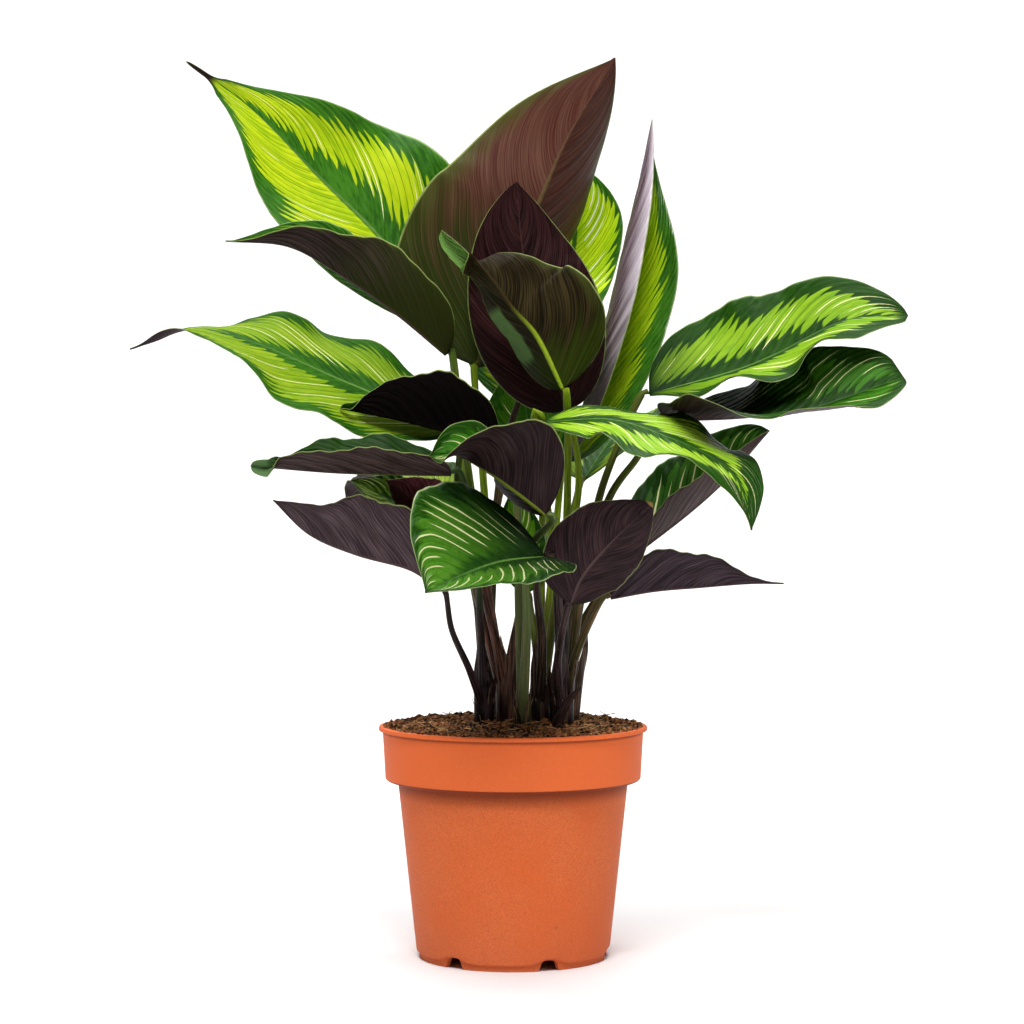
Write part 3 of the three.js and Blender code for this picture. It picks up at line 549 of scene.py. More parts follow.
# The middle surface of a blade over shares along and across. A point goes out from the midrib on an
# arc that starts at the rise and turns by the curl, then the edge waves move it along the face.
def bladeSurface(name, form, along, across):
    share = along[:, 0]
    rib, heading = smoothLine(form["rib"], share)[:2]
    faces = np.asarray(form["face"], float)
    steps = np.linspace(0, 1, len(faces))
    up = np.stack([np.interp(share, steps, faces[:, k]) for k in range(3)], -1)
    start, face, tipHalf = tipForms.get(name, (1.0, None, 0))
    turned = np.clip((share - start) / 0.05, 0, 1)[:, None]
    if face:
        up = unit(up) * (1 - turned) + np.asarray(face) * turned
    up = unit(up - (up * heading).sum(-1, keepdims=True) * heading)
    side = np.cross(heading, up)
    left, right = np.asarray(form["left"], float), np.asarray(form["right"], float)
    half = np.where((across < 0)[..., None], left, right)
    rise = np.radians(half[..., 0] + (half[..., 1] - half[..., 0]) * along)
    curl = np.radians(half[..., 2] + (half[..., 3] - half[..., 2]) * along)
    curl = np.where(np.abs(curl) < 1e-4, 1e-4, curl)
    out = np.abs(across)
    least = bladeMake["stalkHalf"] + (bladeMake["tipHalf"] - bladeMake["stalkHalf"]) * along
    width = np.maximum(perHalf(form, "half", across) * outline(
        along, perHalf(form, "widest", across), perHalf(form, "taper", across)), least)
    if tipHalf:
        onward = np.clip((along - start) / (1 - start), 0, 1)
        width = width + (tipHalf * np.sqrt(1 - onward**3) + 0.3 - width) * turned
    reach = width / curl * (np.sin(rise + curl * out) - np.sin(rise))
    lift = width / curl * (np.cos(rise) - np.cos(rise + curl * out))
    height, count = form["wave"]
    height = height + np.where(across < 0, *edgeSwings.get(name, (0, 0)))
    phase = np.where(across < 0, 0, 1.7)
    calm = np.sin(np.pi * along)
    wave = height * out**2 * np.sin(2 * np.pi * count * along + phase) * calm
    turns = 2 * np.pi * bladeMake["frills"]
    wave = wave + bladeMake["frill"] * out**4 * np.sin(turns * along + 3 * phase) * calm
    point = rib[:, None, :] + (np.sign(across) * reach)[..., None] * side[:, None, :]
    return point + (lift + wave)[..., None] * up[:, None, :], width


# A closed blade: the middle surface moved half its thickness both ways along its normal. The side
# veins run where along less sweep times the distance out stays the same, and a low ripple follows
# them. Below the midrib stands a rounded keel, above it lies a shallow groove.
def makeLeaf(name, form, upper, under):
    rows, strips = bladeMake["rows"], bladeMake["strips"]
    step = np.linspace(0, 1, strips + 1) ** 1.35
    shares = np.concatenate([-step[:0:-1], step])
    along, across = np.meshgrid(np.linspace(0, 1, rows + 1), shares, indexing="ij")
    middle, width = bladeSurface(name, form, along, across)
    vein = along - bladeMake["sweep"] * np.abs(across) ** bladeMake["bow"]
    out = np.abs(across)
    fade = np.clip(out * 4, 0, 1) * np.clip((1 - out) * 6, 0, 1) * np.clip(width / 12, 0, 1)
    turn = 2 * np.pi * bladeMake["ripples"] * vein + np.where(across < 0, 0.8, 0)
    ahead = np.gradient(middle, axis=0)
    aside = np.gradient(middle, shares, axis=1)
    normal = unit(np.cross(aside, ahead))
    middle = middle + (bladeMake["ripple"] * np.sin(turn) * fade)[..., None] * normal
    away = out * width
    thick = bladeMake["thick"] / 2 * (1 - 0.6 * out**5)
    keel = bladeMake["keel"] * (1 - along) ** 0.8 * np.exp(-((away / bladeMake["keelWide"]) ** 2))
    groove = bladeMake["groove"] * (1 - along) * np.exp(-((away / bladeMake["grooveWide"]) ** 2))
    top = middle + (thick - groove)[..., None] * normal
    low = middle - (thick + keel)[..., None] * normal
    columns = len(shares)
    quads = gridFaces(rows + 1, columns)
    below = quads[:, ::-1] + middle.shape[0] * columns
    rim = np.concatenate([
        np.arange(columns - 1), np.arange(rows) * columns + columns - 1,
        rows * columns + np.arange(columns - 1, 0, -1), np.arange(rows, 0, -1) * columns])
    after = np.roll(rim, -1)
    under0 = (rows + 1) * columns
    edge = np.stack([rim, rim + under0, after + under0, after], -1)
    points = np.concatenate([top.reshape(-1, 3), low.reshape(-1, 3)]) * mm

    def twice(values):
        return np.concatenate([values.ravel(), values.ravel()])

    kinds = np.concatenate([np.zeros(len(quads)), np.ones(len(below) + len(edge))])
    piece = makePiece(
        "leafSkin_" + name, points, np.concatenate([quads, below, edge]), [upper, under], kinds,
        uv={"veins": np.stack([twice(vein), twice(across)], -1)}, numbers={"along": twice(along)})
    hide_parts("leaf_" + name)


# A tone times one factor for each channel, none of them above the given most.
def scaleTone(tone, factors, most=1.0):
    return tuple(min(c * f, most) for c, f in zip(tone, factors))


# Upper side: deep green with a lime band on each half. The band is cut into lanes by thin dark side
# veins and ends in one pointed finger per lane, longer and shorter by chance; some lanes carry a cream
# stripe with drawn-out ends.
def upperMaterial(name, look, length):
    material, tree, shader = newMaterial("leafUpper_" + name)
    vein, s = uvOf(tree, "veins")
    along = attributeOf(tree, "along")
    across = s.math("ABSOLUTE")
    right = s.math("GREATER_THAN", 0.0)
    seed = look["seed"]
    lanes = length / look["laneWidth"]
    wander = noiseSheet(tree, vein * 6 + seed, s * 2.0) - 0.5
    lane = vein * lanes + right * 71.3 + wander * 0.45 + (100 + seed)
    cell = lane.math("FLOOR")
    within = lane.math("FRACT")
    ridge = 1 - (within - 0.5).math("ABSOLUTE") * 2
    chance = lottery(tree, cell)
    luck = lottery(tree, cell + 0.31)
    streakCell = (lane * 4).math("FLOOR")
    streak = lottery(tree, streakCell + 0.53)
    thread = lottery(tree, streakCell + 0.77)
    drift = noiseLine(tree, lane * 0.30) - 0.5
    drift2 = noiseLine(tree, lane * 0.30 + 50) - 0.5
    finger = 1 - ridge.ramp(0.0, 0.9)
    fadeFrom, fadeBy = look["fade"]
    outer = (1 - look["rim"]) + drift * 0.26 + (chance - 0.5) * 0.10 + (streak - 0.5) * 0.05
    rimOf = outer - finger * 0.12 - along.ramp(fadeFrom, 1.0) * fadeBy
    midOf = right.ramp(0.0, 1.0, *look["mid"])
    inner = midOf * along.ramp(0.35, 0.95, 1.3, 0.15) + drift2 * 0.34 * midOf.ramp(0.0, 0.25)
    inner = inner + ((luck - 0.5) * 0.16 + (thread - 0.5) * 0.08 + finger * 0.12) * midOf.ramp(0.0, 0.2)
    soft = look["soft"]
    bright = across.ramp(inner - 0.006 - soft, inner + 0.018 + soft)
    bright = bright * across.ramp(rimOf - 0.012 - soft, rimOf + 0.008 + soft, 1.0, 0.0)
    bright = bright * along.ramp(0.0, 0.06) * along.ramp(0.93, 0.99, 1.0, 0.0)
    mottle = noiseSheet(tree, vein * 60, s * 14, 3.0)
    cloud = noiseSheet(tree, vein * 5 + seed, s * 3, 2.0)
    if "band" in look:
        band = look["band"]
    else:
        ends = zip(leafTones["dull"], leafTones["lime"])
        band = tuple(a + (b - a) * look["lime"] for a, b in ends)
    pale = scaleTone(band, (1.42, 1.2, 2.0), 0.8)
    bandColour = blendColour(tree, (mottle * 0.5 + cloud * 0.5).ramp(0.38, 0.62), band, pale)
    dim = scaleTone(band, (0.50, 0.66, 0.9))
    bandColour = blendColour(tree, thread.ramp(0.62, 0.95, 0.0, 0.6), bandColour, dim)
    lineMask = ridge.ramp(0.02, 0.17, look["lines"], 0.0) * across.ramp(0.03, 0.12)
    bandColour = blendColour(tree, lineMask, bandColour, scaleTone(band, (0.14, 0.34, 0.9)))
    depth = 1 / look["deep"]
    dark = scaleTone(leafTones["dark"], [depth] * 3)
    lifted = scaleTone(leafTones["lifted"], [depth] * 3)
    darkColour = blendColour(tree, (mottle * 0.6 + cloud * 0.4).ramp(0.34, 0.66), dark, lifted)
    darkColour = blendColour(tree, thread.ramp(0.5, 1.0, 0.0, 0.4), darkColour, lifted)
    shadow = ridge.ramp(0.0, 0.2, 0.55, 0.0) * across.ramp(0.05, 0.3)
    darkColour = blendColour(tree, shadow, darkColour, scaleTone(dark, [0.45] * 3))
    colour = blendColour(tree, bright, darkColour, bandColour)
    # painted shade: the blade darkened towards the stalk, where the leaves above shade it; in part also the
    # leaf's own duller tone
    if "paintedStalkShade" in look:  # duller towards the stalk
        reach, amount = look["paintedStalkShade"]
        colour = blendColour(tree, along.ramp(0.0, reach, amount, 0.0), colour, leafTones["paintedStalkShade"])
    # cream stripes: from a start to an end across the half, thinner towards both
    picked = lottery(tree, cell + 0.11).math("LESS_THAN", look["stripes"])
    start = chance * 0.22 + 0.10
    stop = luck * 0.30 + look["reach"]
    lengthwise = across.ramp(start, start + 0.12) * across.ramp(stop - 0.3, stop, 1.0, 0.0)
    thin = (within - 0.5).math("ABSOLUTE")
    stripe = (lengthwise * look["stripe"] - thin).ramp(0.0, 0.03) * picked
    stripe = stripe * along.ramp(0.04, 0.12) * along.ramp(0.93, 0.98, 1.0, 0.0)
    colour = blendColour(tree, stripe, colour, look["cream"])
    ribColour = blendColour(tree, along.ramp(0.0, 0.8), leafTones["ribLow"], leafTones["ribHigh"])
    colour = blendColour(tree, across.ramp(0.008, 0.026, 0.85, 0.0), colour, ribColour)
    colour = blendColour(tree, across.ramp(0.975, 0.995, 0.0, 0.7), colour, leafTones["margin"])
    if "tip" in look:
        tipFrom, tipTone = look["tip"]
        colour = blendColour(tree, along.ramp(tipFrom, tipFrom + 0.03), colour, tipTone)
    plug(shader.inputs["Base Color"], colour)
    plug(shader.inputs["Roughness"], mottle.ramp(0.2, 0.8, look["gloss"], look["gloss"] + 0.16))
    shader.inputs["Specular IOR Level"].default_value = look["sheen"]
    height = ridge.ramp(0.0, 1.0) * 0.6 + mottle * 0.25 + noiseSheet(tree, vein * lanes * 9, s * 3) * 0.3
    bumpUp(tree, shader, height, 0.0005, 0.9)
    return material


# Underside: a plum or olive tone with paler streaks along the side veins, a midrib and a thin pale
# edge; some turn green towards the edge or the stalk, and the scroll turns near white towards its edge
# as a painted highlight.
def underMaterial(name, look, seed, length):
    material, tree, shader = newMaterial("leafUnder_" + name)
    vein, s = uvOf(tree, "veins")
    along = attributeOf(tree, "along")
    across = s.math("ABSOLUTE")
    lanes = length / 6.2
    lane = vein * lanes + s.math("GREATER_THAN", 0.0) * 71.3 + (100 + seed)
    within = lane.math("FRACT")
    ridge = 1 - (within - 0.5).math("ABSOLUTE") * 2
    fine = noiseSheet(tree, vein * lanes * 7 + seed, s * 2.2, 3.0)
    broad = noiseSheet(tree, vein * lanes * 0.7 + seed, s * 1.2, 2.0)
    streaks = (fine * 0.8 + broad * 0.35).ramp(0.44, 0.80)
    colour = blendColour(tree, streaks, look["tone"], look["streak"])
    # towards the edge: the leaf's own tone, except on the scroll, where the near-white tone is a painted
    # highlight
    reach = look["edgeReach"]
    edgeTintAndHighlight = (across + (broad - 0.5) * 0.3).ramp(1 - reach, 1.0, 0.0, 0.9)
    colour = blendColour(tree, edgeTintAndHighlight, colour, look["edge"])
    greenBase = (along + (broad - 0.5) * 0.3).ramp(0.3 * look["baseReach"], look["baseReach"], 0.93, 0.0)
    colour = blendColour(tree, greenBase, colour, look["base"])
    veinLine = ridge.ramp(0.0, 0.16, 0.5, 0.0) * across.ramp(0.03, 0.2)
    colour = blendColour(tree, veinLine, colour, look["streak"])
    if "patch" in look:
        where = s.ramp(0.30, 0.40) * (along + (broad - 0.5) * 0.1).ramp(0.16, 0.2)
        where = where * along.ramp(0.48, 0.53, 1.0, 0.0)
        colour = blendColour(tree, where, colour, look["patch"])
    ribWide = along.ramp(0.0, 1.0, 0.042, 0.014)
    ribTone = blendColour(tree, along.ramp(*look["ribFade"]), look["rib"], look["streak"])
    colour = blendColour(tree, across.ramp(ribWide * 0.4, ribWide, 1.0, 0.0), colour, ribTone)
    colour = blendColour(tree, across.ramp(0.975, 0.99, 0.0, 0.85), colour, leafTones["underMargin"])
    if "tip" in look:
        tipFrom, tipTone = look["tip"]
        colour = blendColour(tree, along.ramp(tipFrom, tipFrom + 0.015), colour, tipTone)
    plug(shader.inputs["Base Color"], colour)
    plug(shader.inputs["Roughness"], fine.ramp(0.2, 0.8, look["gloss"], look["gloss"] + 0.12))
    shader.inputs["Specular IOR Level"].default_value = look["sheen"]
    height = ridge.ramp(0.0, 0.5, 0.5, 0.0) + fine * 0.4
    bumpUp(tree, shader, height, 0.0004, 0.8)
    return material


for leafName, leafForm in leafForms.items():
    ribLength = smoothLine(leafForm["rib"], [0, 1])[2]
    upperLook = {**upperUsual, **upperLooks[leafName]}
    underLook = {**plum, **underLooks.get(leafName, {})}
    upperSide = upperMaterial(leafName, upperLook, ribLength)
    underSide = underMaterial(leafName, underLook, upperLook["seed"], ribLength)
    makeLeaf(leafName, leafForm, upperSide, underSide)
print("leaves made:", len(leafForms))


# Where each shoot leaves the soil, the radius of its sheath there, how slim its stalks are (1 where
# it isn't given), how green it is low down, how dry its scales are, its plum and its green tone, and
# the scales: the way each one faces, its height, width and flare, and its lean.
shootForms = {
    "left": dict(
        at=(-15, -12), radius=4.6, slim=0.8, green=0.04, dry=0.5, slot="stem_dark",
        dark=(0.011, 0.005, 0.006), leafy=(0.040, 0.080, 0.018),
        scales=[
            (-120, 46, 95, 0.3, (-0.03, 0)), (-30, 30, 80, 0.9, (0.04, 0)), (70, 34, 90, 0.5, (0, 0))]),
    "middle": dict(
        at=(-3, -3), radius=5.0, green=0.05, dry=1.0, slot="stem_dark",
        dark=(0.050, 0.019, 0.012), leafy=(0.10, 0.16, 0.018),
        scales=[
            (-100, 52, 120, 0.5, (-0.05, -0.04)), (-40, 24, 60, 0.5, (0.03, 0)), (60, 30, 90, 0.5, (0, 0)),
            (-70, 76, 80, 0.2, (0.06, -0.03))]),
    "front": dict(
        at=(5, -25), radius=3.8, green=0.5, dry=0.9, slot="stem_green",
        dark=(0.045, 0.040, 0.010), leafy=(0.115, 0.165, 0.048),
        scales=[
            (-150, 20, 60, 0.8, (-0.03, 0)), (-20, 28, 70, 0.4, (0.02, 0))]),
    "inner": dict(
        at=(14, -9), radius=4.4, green=0.06, dry=0.7, slot="stem_dark",
        dark=(0.015, 0.008, 0.005), leafy=(0.20, 0.31, 0.010),
        scales=[
            (-110, 52, 95, 0.3, (-0.02, -0.02)), (-60, 30, 70, 1.0, (0, -0.03)), (80, 32, 90, 0.5, (0, 0))]),
    "right": dict(
        at=(25, -14), radius=5.2, green=0.0, dry=0.55, slot="stem_dark",
        dark=(0.014, 0.007, 0.007), leafy=(0.22, 0.32, 0.012),
        scales=[
            (-80, 56, 95, 0.4, (-0.03, -0.04)), (-150, 36, 70, 0.9, (-0.05, 0)),
            (0, 40, 80, 0.6, (0.06, 0))]),
    "outer": dict(
        at=(29, 4), radius=4.6, green=0.34, dry=0.75, slot="stem_dark",
        dark=(0.046, 0.024, 0.013), leafy=(0.12, 0.165, 0.020),
        scales=[
            (-40, 54, 95, 0.6, (0.12, 0)), (-110, 38, 80, 0.9, (0.05, -0.02)), (90, 34, 90, 0.5, (0, 0))]),
    "back": dict(
        at=(-14, 17), radius=5.0, green=0.15, dry=0.7, slot="stem_dark",
        dark=(0.022, 0.014, 0.006), leafy=(0.18, 0.28, 0.012),
        scales=[
            (-90, 40, 90, 0.5, (0, 0)), (40, 34, 90, 0.6, (0, 0)), (150, 44, 100, 0.5, (-0.02, 0))]),
    "rear": dict(
        at=(15, 19), radius=5.4, green=0.3, dry=0.7, slot="stem_dark",
        dark=(0.026, 0.020, 0.006), leafy=(0.24, 0.36, 0.014),
        scales=[
            (-80, 44, 95, 0.5, (0.02, 0)), (70, 48, 95, 0.6, (0, 0.03)), (170, 32, 80, 0.8, (0, 0))]),
}
# How green each stalk is at its leaf, where it isn't the shoot's own tone.
stalkGreen = {
    "spire": 1.0, "hood": 1.0, "plume": 0.9, "scroll": 0.95, "banner": 0.7, "pennant": 0.75,
    "fold": 0.95, "crest": 0.9, "wing": 0.85, "trough": 0.95, "shield": 0.8, "sliver": 0.7,
    "pencil": 0.0, "veil": 0.5, "tongue": 0.8, "cloak": 0.5, "train": 0.5, "drape": 0.4, "sail": 0.6,
}
# Stalks and sheaths in millimetres: the radius of a stalk at its root and below its leaf, and how far
# below the blade its knuckle sits; between the two heights of rise it stands straight. The sheath
# goes through its heights and is drawn in from drawFrom on, over drawOver, to the radius core.
stalkMake = dict(
    rootRadius=3.4, neckRadius=1.6, knuckle=5, rise=(117.5, 127.5), steps=70, sides=18,
    sheathHeights=(104.3, 118, 130, 149.0), drawFrom=128, drawOver=19, core=2.0, sheathSteps=46,
    sheathSides=28, scaleFoot=117,
)


# A closed round tube along a path: at each step a ring round the path, at a right angle to it, its
# radius given along and around. Both ends are drawn in to a point.
def tubeGrid(knots, radiusOf, steps, sides):
    share = np.linspace(0, 1, steps)
    place, heading, length = smoothLine(knots, share)
    aim = np.cross(heading[0], heading[-1])
    if np.linalg.norm(aim) < 0.05:
        aim = np.cross(heading[0], (0.3, 1.0, 0.1))
    first = unit(aim - (aim * heading).sum(-1, keepdims=True) * heading)
    second = np.cross(heading, first)
    turn = 2 * np.pi * np.arange(sides) / sides
    radius = radiusOf(share[:, None], turn[None, :])
    ring = np.cos(turn)[None, :, None] * first[:, None] + np.sin(turn)[None, :, None] * second[:, None]
    points = place[:, None] + radius[..., None] * ring
    points[0], points[-1] = place[0], place[-1]
    uv = np.stack(np.broadcast_arrays(share[:, None] * length, turn[None, :] / (2 * np.pi)), -1)
    return points.reshape(-1, 3), gridFaces(steps, sides, loop=True), uv.reshape(-1, 2)


# Stalk and sheath: dark plum to yellow green by the piece's own number, with fine lengthwise ribs,
# speckles and a paler bloom.
def stemMaterial(name, dark, green, gloss=0.36):
    material, tree, shader = newMaterial(name)
    run, turn = uvOf(tree, "run")
    amount = attributeOf(tree, "green")
    dry = attributeOf(tree, "dry")
    ribs = noiseSheet(tree, turn * 26, run * 0.05, 2.0)
    patch = noiseSpace(tree, 130, 4.0, (1, 1, 0.35))
    speck = noiseSpace(tree, 900, 2.0)
    bloom = tuple(c * 4.0 + 0.006 for c in dark)
    darkTone = blendColour(tree, ribs.ramp(0.38, 0.72), scaleTone(dark, [0.45] * 3), bloom)
    darkTone = blendColour(tree, speck.ramp(0.62, 0.75, 0.0, 0.5), darkTone, (0.10, 0.075, 0.05))
    greenTone = blendColour(tree, ribs.ramp(0.3, 0.7), green, scaleTone(green, [0.40] * 3))
    share = (amount + (patch - 0.5) * 0.35 * amount.ramp(0.0, 0.3)).ramp(0.05, 0.95)
    colour = blendColour(tree, share, darkTone, greenTone)
    husk = blendColour(tree, ribs.ramp(0.35, 0.7), (0.022, 0.012, 0.008), (0.130, 0.074, 0.048))
    colour = blendColour(tree, (dry + (patch - 0.5) * 0.4 * dry).ramp(0.2, 0.75), colour, husk)
    colour = blendColour(tree, (dry + (ribs - 0.5) * 0.2).ramp(0.86, 1.0), colour, (0.30, 0.19, 0.10))
    plug(shader.inputs["Base Color"], colour)
    plug(shader.inputs["Roughness"], speck.ramp(0.3, 0.7, gloss - 0.06, gloss + 0.12))
    shader.inputs["Specular IOR Level"].default_value = 0.10
    bumpUp(tree, shader, ribs * 0.8 + speck * 0.2, 0.0005, 0.7)
    return material


# The line of a stalk: straight up out of the soil, through the leaf's own knots, then along the
# start of its midrib.
def stalkKnots(shoot, form):
    rib, heading = smoothLine(form["rib"], [0.0])[:2]
    neck, ahead = rib[0], heading[0]
    x, y = shoot["at"]
    way = [(x, y, z) for z in stalkMake["rise"]] + list(reversed(form["stem"][1]))
    return way + [tuple(neck - stalkMake["knuckle"] * ahead), tuple(neck + 0.3 * ahead)]


# A sheath scale: a strip of a cone round the stalk that narrows to a point at its top, its edges
# standing a little off. Height and turn are the two parameters.
def scaleGrid(foot, lean, radius, tall, wide, turnBy, flare, thick=0.35, rows=26, columns=17):
    up, across = np.meshgrid(np.linspace(0, 1, rows), np.linspace(-1, 1, columns), indexing="ij")
    span = np.radians(wide) * (1 - up**2.4) + 0.02
    turn = np.radians(turnBy) + across * span
    layers = []
    for offset in (thick, 0.0):
        r = radius * (1 - 0.28 * up) + 0.25 + offset + flare * up**3 + 0.5 * flare * across**2 * up
        point = np.stack([
            foot[0] + lean[0] * up * tall + r * np.cos(turn),
            foot[1] + lean[1] * up * tall + r * np.sin(turn),
            foot[2] + tall * up * (1 - 0.12 * across**2)], -1)
        layers.append(point.reshape(-1, 3))
    quads = gridFaces(rows, columns)
    count = rows * columns
    rim = np.concatenate([
        np.arange(columns - 1), np.arange(rows - 1) * columns + columns - 1,
        (rows - 1) * columns + np.arange(columns - 1, 0, -1), np.arange(rows - 1, 0, -1) * columns])
    after = np.roll(rim, -1)
    edge = np.stack([rim, rim + count, after + count, after], -1)
    faces = np.concatenate([quads, quads[:, ::-1] + count, edge])
    uv = np.stack([up * tall, turn / (2 * np.pi)], -1).reshape(-1, 2)
    dry = (0.45 + 0.55 * np.clip(up**3 + np.abs(across) ** 6, 0, 1)).ravel()
    return np.concatenate(layers), faces, np.concatenate([uv, uv]), np.concatenate([dry, dry])


# Radius of a sheath: full to a few millimetres above the soil, then down inside the stalks, and a
# little out of round.
def sheathRadius(full):
    low, top = stalkMake["sheathHeights"][0], stalkMake["sheathHeights"][-1]

    def radiusOf(share, turn):
        z = low + share * (top - low)
        fall = np.clip((z - stalkMake["drawFrom"]) / stalkMake["drawOver"], 0, 1)
        fall = fall * fall * (3 - 2 * fall)
        bulge = 1 + 0.05 * np.cos(2 * turn + full) + 0.02 * np.cos(5 * turn)
        return (full + (stalkMake["core"] - full) * fall) * bulge

    return radiusOf


# Radius of a stalk: thinner on the way up, with a slightly thick knuckle below the blade, a shallow
# channel on one side and the lap of its own sheath round its lower half.
def stalkRadius(slim):
    root, neck = stalkMake["rootRadius"], stalkMake["neckRadius"]

    def radiusOf(share, turn):
        base = root + (neck - root) * share**0.6
        knuckle = 0.35 * np.exp(-(((share - 0.95) / 0.035) ** 2))
        channel = 1 - 0.07 * np.cos(turn)
        lap = 1 + 0.16 * np.clip(1 - share / 0.5, 0, 1) * ((turn / (2 * np.pi) + 0.3 * share) % 1.0 - 0.5)
        return (base + knuckle) * channel * lap * slim

    return radiusOf


# Several grids as one, with one green and one dry number for each point.
def joinGrids(grids):
    points, faces, uvs, greens, dries, first = [], [], [], [], [], 0
    for (point, face, uv), green, dry in grids:
        points.append(point)
        faces.append(face + first)
        uvs.append(uv)
        greens.append(np.broadcast_to(green, len(point)))
        dries.append(np.broadcast_to(dry, len(point)))
        first += len(point)
    return [np.concatenate(part) for part in (points, faces, uvs, greens, dries)]


for shootName, shoot in shootForms.items():
    x, y = shoot["at"]
    grids = []
    path = [(x, y, z) for z in stalkMake["sheathHeights"]]
    sheath = tubeGrid(path, sheathRadius(shoot["radius"]), stalkMake["sheathSteps"], stalkMake["sheathSides"])
    grids.append((sheath, shoot["green"], 0.0))
    for leafName, leafForm in leafForms.items():
        if leafForm["stem"][0] != shootName:
            continue
        knots = stalkKnots(shoot, leafForm)
        grid = tubeGrid(knots, stalkRadius(shoot.get("slim", 1)), stalkMake["steps"], stalkMake["sides"])
        share = np.repeat(np.linspace(0, 1, stalkMake["steps"]), stalkMake["sides"])
        atLeaf = stalkGreen.get(leafName, shoot["green"])
        rising = np.clip((share - 0.30) / 0.4, 0, 1)
        green = shoot["green"] + (atLeaf - shoot["green"]) * rising * rising * (3 - 2 * rising)
        grids.append((grid, green, 0.0))
    for k, (turnBy, tall, wide, flare, lean) in enumerate(shoot["scales"]):
        foot = (x, y, stalkMake["scaleFoot"])
        *scale, dry = scaleGrid(foot, lean, shoot["radius"] + 0.15 * k, tall, wide, turnBy, flare)
        grids.append((scale, shoot["green"] * 0.4, dry * shoot["dry"]))
    points, faces, uvs, greens, dries = joinGrids(grids)
    skin = stemMaterial("stalk_" + shootName, shoot["dark"], shoot["leafy"])
    piece = makePiece("stalks_" + shootName, points * mm, faces, [skin],
                      uv={"run": uvs}, numbers={"green": greens, "dry": dries})
    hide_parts("shoot_" + shootName)
print("shoots made:", len(shootForms))

# The young rolled shoot: a cone along a bent path, wound once, with a dry edge.
budForm = dict(
    radius=3.4, tip=0.5, steps=60, sides=28, dark=(0.014, 0.006, 0.005), leafy=(0.20, 0.31, 0.010),
    path=[(23, -31, 104.3), (23, -31, 114), (23, -31, 124), (28, -33, 135), (35, -34, 143)],
)


def budRadius(share, turn):
    base = budForm["radius"] + (budForm["tip"] - budForm["radius"]) * share**2.6
    lap = 0.16 * (((turn + 5 * share) / (2 * np.pi)) % 1.0)
    return base * (0.9 + lap)


points, faces, uvs = tubeGrid(budForm["path"], budRadius, budForm["steps"], budForm["sides"])
budSkin = stemMaterial("stalk_young", budForm["dark"], budForm["leafy"])
budPiece = makePiece("youngShoot", points * mm, faces, [budSkin], uv={"run": uvs},
                     numbers={"green": np.full(len(points), 0.02), "dry": uvs[:, 1] ** 8 * 0.95})
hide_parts("bud")


# Many thin strands in one mesh: each goes from its foot along its heading, bends by a share of the
# square of the way along, swings aside in a wave that grows, and thins towards both ends.
def strandMesh(feet, headings, lengths, bends, radii, steps=9, sides=3, curl=0.0):
    t = np.linspace(0, 1, steps)
    centre = feet[:, None] + headings[:, None] * (lengths[:, None] * t)[..., None]
    centre = centre + bends[:, None] * (t**2)[None, :, None]
    swing = unit(np.cross(headings, np.array([0.0, 0.0, 1.0]) + headings[:, ::-1] * 0.2))
    wave = curl * lengths[:, None] * np.sin(2 * np.pi * t * 1.3 + 9 * lengths[:, None]) * t
    centre = centre + wave[..., None] * swing[:, None]
    first = unit(np.cross(headings, bends + np.array([0.31, 0.17, 0.93]) * 1e-3))
    second = unit(np.cross(headings, first))
    turn = 2 * np.pi * np.arange(sides) / sides
    ring = np.cos(turn)[:, None] * first[:, None] + np.sin(turn)[:, None] * second[:, None]
    thin = np.sqrt(np.clip(1 - (2 * t - 1) ** 4, 0.02, 1))
    points = centre[:, :, None] + (radii[:, None] * thin)[..., None, None] * ring[:, None]
    count = steps * sides
    one = gridFaces(steps, sides, loop=True)
    caps = np.array([[0, 2, 1, 1], [count - 3, count - 2, count - 1, count - 1]])
    quads = (np.arange(len(feet)) * count)[:, None, None] + one[None]
    ends = (np.arange(len(feet)) * count)[:, None, None] + caps[None, :, :3]
    faces = quads.reshape(-1, 4).tolist() + ends.reshape(-1, 3).tolist()
    return points.reshape(-1, 3), faces


# Many small lumps in one mesh: each a ball of twenty faces, pulled out of round and turned.
def crumbMesh(places, sizes, chance):
    g = (1 + 5**0.5) / 2
    ball = unit(np.array([
        (-1, g, 0), (1, g, 0), (-1, -g, 0), (1, -g, 0), (0, -1, g), (0, 1, g),
        (0, -1, -g), (0, 1, -g), (g, 0, -1), (g, 0, 1), (-g, 0, -1), (-g, 0, 1)], float))
    sides = np.array([
        (0, 11, 5), (0, 5, 1), (0, 1, 7), (0, 7, 10), (0, 10, 11), (1, 5, 9), (5, 11, 4), (11, 10, 2),
        (10, 7, 6), (7, 1, 8), (3, 9, 4), (3, 4, 2), (3, 2, 6), (3, 6, 8), (3, 8, 9), (4, 9, 5),
        (2, 4, 11), (6, 2, 10), (8, 6, 7), (9, 8, 1)])
    stretch = chance.uniform(0.55, 1.35, (len(places), 1, 3))
    rough = chance.uniform(0.75, 1.2, (len(places), 12, 1))
    points = places[:, None] + ball[None] * stretch * rough * sizes[:, None, None]
    faces = (np.arange(len(places)) * 12)[:, None, None] + sides[None]
    return points.reshape(-1, 3), faces.reshape(-1, 3)


# The pot in millimetres, with radii at the lip, the collar's two ends, the body's two ends and the
# foot ring. The first notch and the drain holes are turned by firstNotch degrees; arch is how far the
# ledge above the foot rises over a notch.
potForm = dict(
    height=120, lipRadius=70, lipThick=2, collarTop=68, collarBottom=66.6, collarHeight=27, bodyTop=60,
    bodyBottom=50.4, footRadius=48.8, footHeight=3, wall=1.6, floorLow=5, floorHigh=7, notches=6,
    notchWidth=11, notchHeight=5.5, firstNotch=-128, drainRadius=5, drainRing=30, sides=360, arch=3.6,
)
